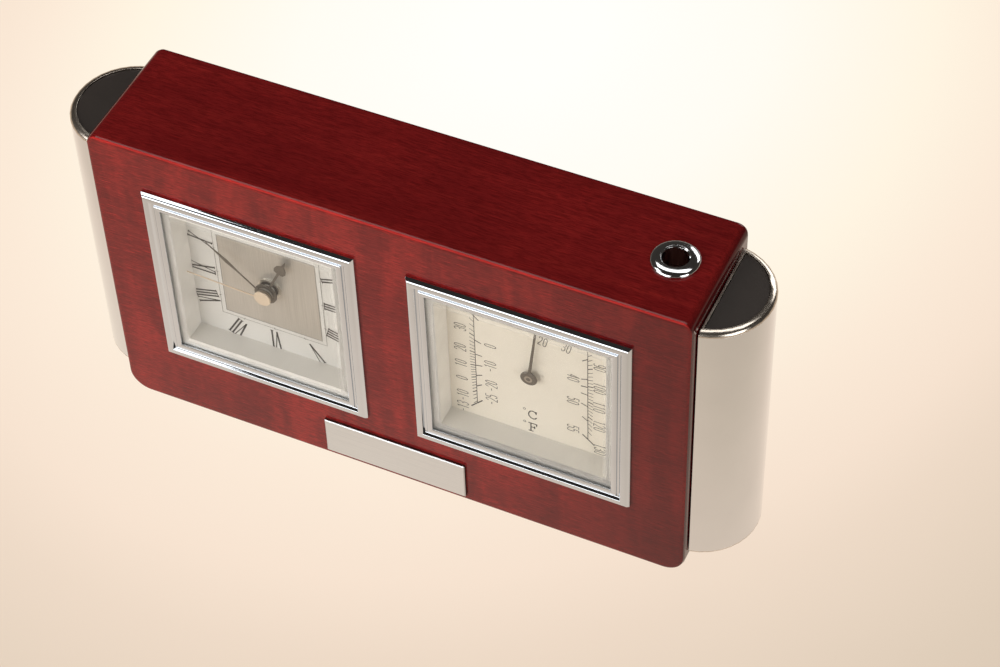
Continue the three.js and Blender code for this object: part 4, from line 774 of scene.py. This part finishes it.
# Figures and letters as strokes in a box one wide and one high
FIGURES = {
    "0": [[(0, 0.25), (0, 0.75), (0.15, 0.93), (0.5, 1), (0.85, 0.93), (1, 0.75), (1, 0.25),
           (0.85, 0.07), (0.5, 0), (0.15, 0.07), (0, 0.25)]],
    "1": [[(0.55, 0), (0.55, 1), (0.2, 0.86)]],
    "2": [[(0, 0.78), (0.15, 0.95), (0.5, 1), (0.85, 0.95), (1, 0.75), (0.9, 0.55), (0, 0),
           (1, 0)]],
    "3": [[(0, 0.84), (0.25, 1), (0.7, 1), (1, 0.85), (1, 0.66), (0.7, 0.52), (0.35, 0.52)],
          [(0.7, 0.52), (1, 0.38), (1, 0.15), (0.7, 0), (0.25, 0), (0, 0.16)]],
    "4": [[(0.72, 0), (0.72, 1), (0, 0.3), (1, 0.3)]],
    "5": [[(0.95, 1), (0.1, 1), (0.04, 0.56), (0.5, 0.62), (0.9, 0.52), (1, 0.3), (0.9, 0.08),
           (0.5, 0), (0.15, 0.04), (0, 0.15)]],
    "9": [[(1, 0.6), (0.85, 0.45), (0.5, 0.4), (0.15, 0.45), (0, 0.65), (0, 0.8), (0.15, 0.95),
           (0.5, 1), (0.85, 0.95), (1, 0.8), (1, 0.3), (0.85, 0.07), (0.5, 0), (0.15, 0.05)]],
    "-": [[(0.1, 0.5), (0.9, 0.5)]],
    "C": [[(0.93, 0.72), (0.8, 0.92), (0.55, 1), (0.25, 0.93), (0.05, 0.7), (0, 0.5), (0.05, 0.28),
           (0.25, 0.07), (0.55, 0), (0.8, 0.07), (0.95, 0.25)], [(0.93, 0.98), (0.93, 0.7)]],
    "F": [[(0.25, 0), (0.25, 1)], [(0, 1), (0.95, 1), (0.95, 0.78)], [(0.25, 0.52), (0.7, 0.52)],
          [(0.7, 0.64), (0.7, 0.4)], [(0, 0), (0.5, 0)]],
}

# Each figure's text, x, z and clockwise turn in degrees
CELSIUS_LABELS = [
    ("0", -11.2, 5.5, -90), ("-10", -11.4, -2.3, -90), ("-20", -11.3, -9.7, -90),
    ("-25", -11.4, -15, -90), ("20", 3.3, 13.6, 12), ("30", 9.7, 14.0, 15),
    ("40", 11.5, 3.8, 90), ("50", 11.4, -4.9, 90), ("55", 11.3, -15.7, 90),
]
FAHRENHEIT_LABELS = [
    ("30", -19.4, 9.2, -90), ("20", -19.7, 1.5, -90), ("10", -19.7, -4.6, -90),
    ("0", -19.6, -10.2, -90), ("-10", -19.6, -16.9, -90), ("-13", -19.7, -21.4, -90),
    ("90", 18.6, 10.7, 90), ("100", 18.6, 2.9, 90), ("110", 18.5, -4.3, 90),
    ("120", 18.6, -11.5, 90), ("130", 18.8, -20.6, 90),
]
FIGURE_WIDTH = 0.85
FIGURE_HEIGHT = 3.2
FIGURE_GAP = 0.5
FIGURE_LINE = 0.19

# The upright bar of each scale, and the clock angles of its Celsius marks
LEFT_BAR = -15.5
RIGHT_BAR = 15.4
BAR_TOP = 16.5
BAR_BOTTOM = -18.0
BAR_LINE = 0.18
BAR_SPARE = 0.1
CELSIUS_LEFT = [233.2, 244.1, 257, 272.4, 291, 314]
CELSIUS_RIGHT = [51.2, 72.3, 82.6, 93.7, 109.3, 125.3]
CELSIUS_REACH = 1.9
CELSIUS_LINE = 0.27

# Clock angle of every tenth degree Fahrenheit; between them the ticks are two degrees apart
FAHRENHEIT_LEFT = [216.5, 229.2, 242.5, 256.9, 274.3, 295.4, 318.5]
FAHRENHEIT_RIGHT = [41.0, 60.7, 81.4, 102.8, 120.9, 137.8]
TICKS_PER_TEN = 5
FAHRENHEIT_REACH = 1.5
TEN_LINE = 0.3
TICK_LINE = 0.17

# The slanting lines at the scales' lower ends
END_MARKS = [((-17.3, -20.1), (-14.0, -16.6)), ((13.9, -16.7), (17.2, -19.7))]
END_LINE = 0.34

# The letters of the two scales with their heights on the dial, and the degree ring by each
UNITS = (("C", -15.7), ("F", -20.6))
UNIT_X = 0.1
UNIT_WIDTH = 2.3
UNIT_HEIGHT = 3.0
UNIT_LINE = 0.32
RING_X = -2.2
RING_RISE = 1.5
RING_RADIUS = 0.32
RING_HALF_SIDES = 5
RING_LINE = 0.14


def figures(text, width, height, gap, line):
    total = len(text) * width + (len(text) - 1) * gap
    shapes = []
    for i, letter in enumerate(text):
        left = -total / 2 + i * (width + gap)
        for row in FIGURES[letter]:
            points = [(left + u * width, (v - 0.5) * height) for u, v in row]
            shapes += run_of_strokes(points, line)
    return shapes


def tick(clock_angle, bar, inside, outside, width):
    """A radial tick that crosses a bar, given how far it reaches to each side of it."""
    angle = math.radians(clock_angle)
    way = Vector((math.sin(angle), math.cos(angle)))
    spot = way * abs(bar) / abs(way.x)
    return stroke(spot - inside * way, spot + outside * way, width)


def fahrenheit_ticks(tens, bar):
    """The ticks of a bar's Fahrenheit scale that cross it between its ends."""
    ticks = []
    for start, end in zip(tens, tens[1:]):
        for k in range(TICKS_PER_TEN):
            angle = start + (end - start) * k / TICKS_PER_TEN
            height = abs(bar) / math.tan(math.radians(angle)) * math.copysign(1, bar)
            if BAR_BOTTOM - BAR_SPARE <= height <= BAR_TOP + BAR_SPARE:
                width = TEN_LINE if k == 0 else TICK_LINE
                ticks.append(tick(angle, bar, 0, FAHRENHEIT_REACH, width))
    return ticks


def degree_ring(z):
    turns = [a * math.pi / RING_HALF_SIDES for a in range(2 * RING_HALF_SIDES + 1)]
    points = [(RING_RADIUS * math.cos(turn) + RING_X, RING_RADIUS * math.sin(turn) + z + RING_RISE)
              for turn in turns]
    return run_of_strokes(points, RING_LINE)


def thermometer_printing():
    fine, bold = [], []
    for text, x, z, turn in CELSIUS_LABELS + FAHRENHEIT_LABELS:
        label = figures(text, FIGURE_WIDTH, FIGURE_HEIGHT, FIGURE_GAP, FIGURE_LINE)
        fine += placed(label, (x, z), turn)
    for bar, celsius, fahrenheit in ((LEFT_BAR, CELSIUS_LEFT, FAHRENHEIT_LEFT),
                                     (RIGHT_BAR, CELSIUS_RIGHT, FAHRENHEIT_RIGHT)):
        fine.append(stroke((bar, BAR_BOTTOM), (bar, BAR_TOP), BAR_LINE))
        fine += fahrenheit_ticks(fahrenheit, bar)
        bold += [tick(angle, bar, CELSIUS_REACH, 0, CELSIUS_LINE) for angle in celsius]
    bold += [stroke(start, end, END_LINE) for start, end in END_MARKS]
    for letter, z in UNITS:
        bold += placed(figures(letter, UNIT_WIDTH, UNIT_HEIGHT, 0, UNIT_LINE), (UNIT_X, z), 0)
        fine += degree_ring(z)
    for name, shapes, layer in (("thermometer_figures", fine, 1.0),
                                ("thermometer_marks", bold, 1.5)):
        print_on(name, shapes, THERMOMETER_DIAL, "thermometer_insert", INK, layer)


clock_printing()
thermometer_printing()


# Floor, world, lamps and camera

# What the camera sees of the floor: rings of colour round a centre, on a scale of GLOW_REACH metres
FLOOR_REACH = 4.0
GLOW_STRETCH = (1, 0.8, 1)
GLOW_CENTRE = (-0.04, 0.128, 0)
GLOW_REACH = 0.3
GLOW = [
    (0.067, (1.0, 1.0, 0.965)), (0.233, (1.0, 0.975, 0.9)), (0.4, (1.0, 0.91, 0.76)),
    (0.5, (0.965, 0.82, 0.68)), (0.583, (0.92, 0.76, 0.625)), (0.65, (0.84, 0.69, 0.56)),
    (0.783, (0.725, 0.599, 0.475)), (1.0, (0.6, 0.49, 0.39)),
]
GLOW_STRENGTH = 1.04

# The rest of what it sees is the lit floor, which takes the object's shadow
GLOW_SHARE = 0.94
FLOOR_COLOUR = (0.86, 0.78, 0.68)

# The room from under the horizon to straight up as the object sees it, and all of it as the
# camera does
ROOM = [
    (0.0, (0.45, 0.4, 0.34)), (0.16, (0.32, 0.28, 0.24)), (0.28, (0.05, 0.044, 0.038)),
    (1.0, (0.03, 0.026, 0.023)),
]
BACKDROP = (0.97, 0.9, 0.8)

# Name, place and size in metres, and power in watts
LAMPS = [
    ("key", (-0.35, -0.8, 0.36), (1.0, 0.55), 6.3),
    ("side", (-0.62, -0.36, 0.65), (0.3, 0.5), 1.3),
    ("fill", (0.85, -0.45, 0.45), (0.5, 0.5), 2.6),
    ("overhead", (0, 0.22, 0.95), (1.1, 0.3), 2.35),
    ("back", (0.25, 0.9, 0.5), (0.6, 0.4), 1.8),
]
LAMP_TARGET = Vector((0, 0, 0.05))
LAMP_COLOUR = (1, 0.985, 0.965)


def floor_finish():
    made, s = material("floor_finish")
    coords = s.add("TexCoord").outputs["Object"]
    flat = s.add("VectorMath", {0: coords, 1: GLOW_STRETCH}, operation="MULTIPLY").outputs["Vector"]
    apart = s.add("VectorMath", {0: flat, 1: GLOW_CENTRE}, operation="DISTANCE").outputs["Value"]
    glow = s.ramp(s.span(apart, 0.0, GLOW_REACH), GLOW)
    seen = s.add("LightPath").outputs
    direct = s.math("MAXIMUM", seen["Is Camera Ray"], seen["Is Glossy Ray"])
    direct = s.math("MAXIMUM", direct, seen["Is Transmission Ray"])
    lit = s.add("BsdfDiffuse", {"Color": FLOOR_COLOUR}).outputs["BSDF"]
    shown = s.add("Emission", {"Color": glow, "Strength": GLOW_STRENGTH}).outputs["Emission"]
    s.finish(s.blend(s.times(direct, GLOW_SHARE), lit, shown))
    return made


def floor():
    mesh = bpy.data.meshes.new("floor")
    bm = bmesh.new()
    bmesh.ops.create_grid(bm, x_segments=1, y_segments=1, size=FLOOR_REACH)
    bm.to_mesh(mesh)
    bm.free()
    made = bpy.data.objects.new("floor", mesh)
    SCENE.collection.objects.link(made)
    dress(made, floor_finish())


def world():
    made = bpy.data.worlds.new("room")
    SCENE.world = made
    s = Shader(made)
    height = s.span(s.parts("TexCoord", "Generated")["Z"], -0.2, 1.0)
    seen = s.add("LightPath").outputs["Is Camera Ray"]
    shade = s.mix(seen, s.ramp(height, ROOM), BACKDROP)
    s.finish(s.add("Background", {"Color": shade, "Strength": 1.0}).outputs["Background"], "World")


def softbox(name, place, size, power):
    light = bpy.data.lights.new(name, "AREA")
    light.shape = "RECTANGLE"
    light.size, light.size_y = size
    light.energy = power
    light.color = LAMP_COLOUR
    made = bpy.data.objects.new(name, light)
    SCENE.collection.objects.link(made)
    made.location = place
    made.rotation_euler = (LAMP_TARGET - Vector(place)).to_track_quat("-Z", "Y").to_euler()
    made.visible_camera = False


def camera():
    lens = bpy.data.cameras.new("camera")
    lens.sensor_width = SENSOR_WIDTH
    lens.lens = FOCAL_PIXELS / IMAGE_WIDTH * SENSOR_WIDTH
    lens.clip_start = CLIP_START
    made = bpy.data.objects.new("camera", lens)
    SCENE.collection.objects.link(made)
    ahead = Vector((-math.sin(CAMERA_YAW) * math.cos(CAMERA_PITCH),
                    math.cos(CAMERA_YAW) * math.cos(CAMERA_PITCH), -math.sin(CAMERA_PITCH)))
    facing_up_down = Vector((math.cos(CAMERA_YAW), math.sin(CAMERA_YAW), 0))
    above = facing_up_down.cross(ahead)
    right = math.cos(CAMERA_ROLL) * facing_up_down + math.sin(CAMERA_ROLL) * above
    up = math.cos(CAMERA_ROLL) * above - math.sin(CAMERA_ROLL) * facing_up_down
    turn = Matrix((right, up, -ahead)).transposed().to_4x4()
    made.matrix_world = Matrix.Translation(CAMERA_PLACE) @ turn
    SCENE.camera = made


floor()
world()
for lamp in LAMPS:
    softbox(*lamp)
camera()
SCENE.view_settings.view_transform = "Standard"
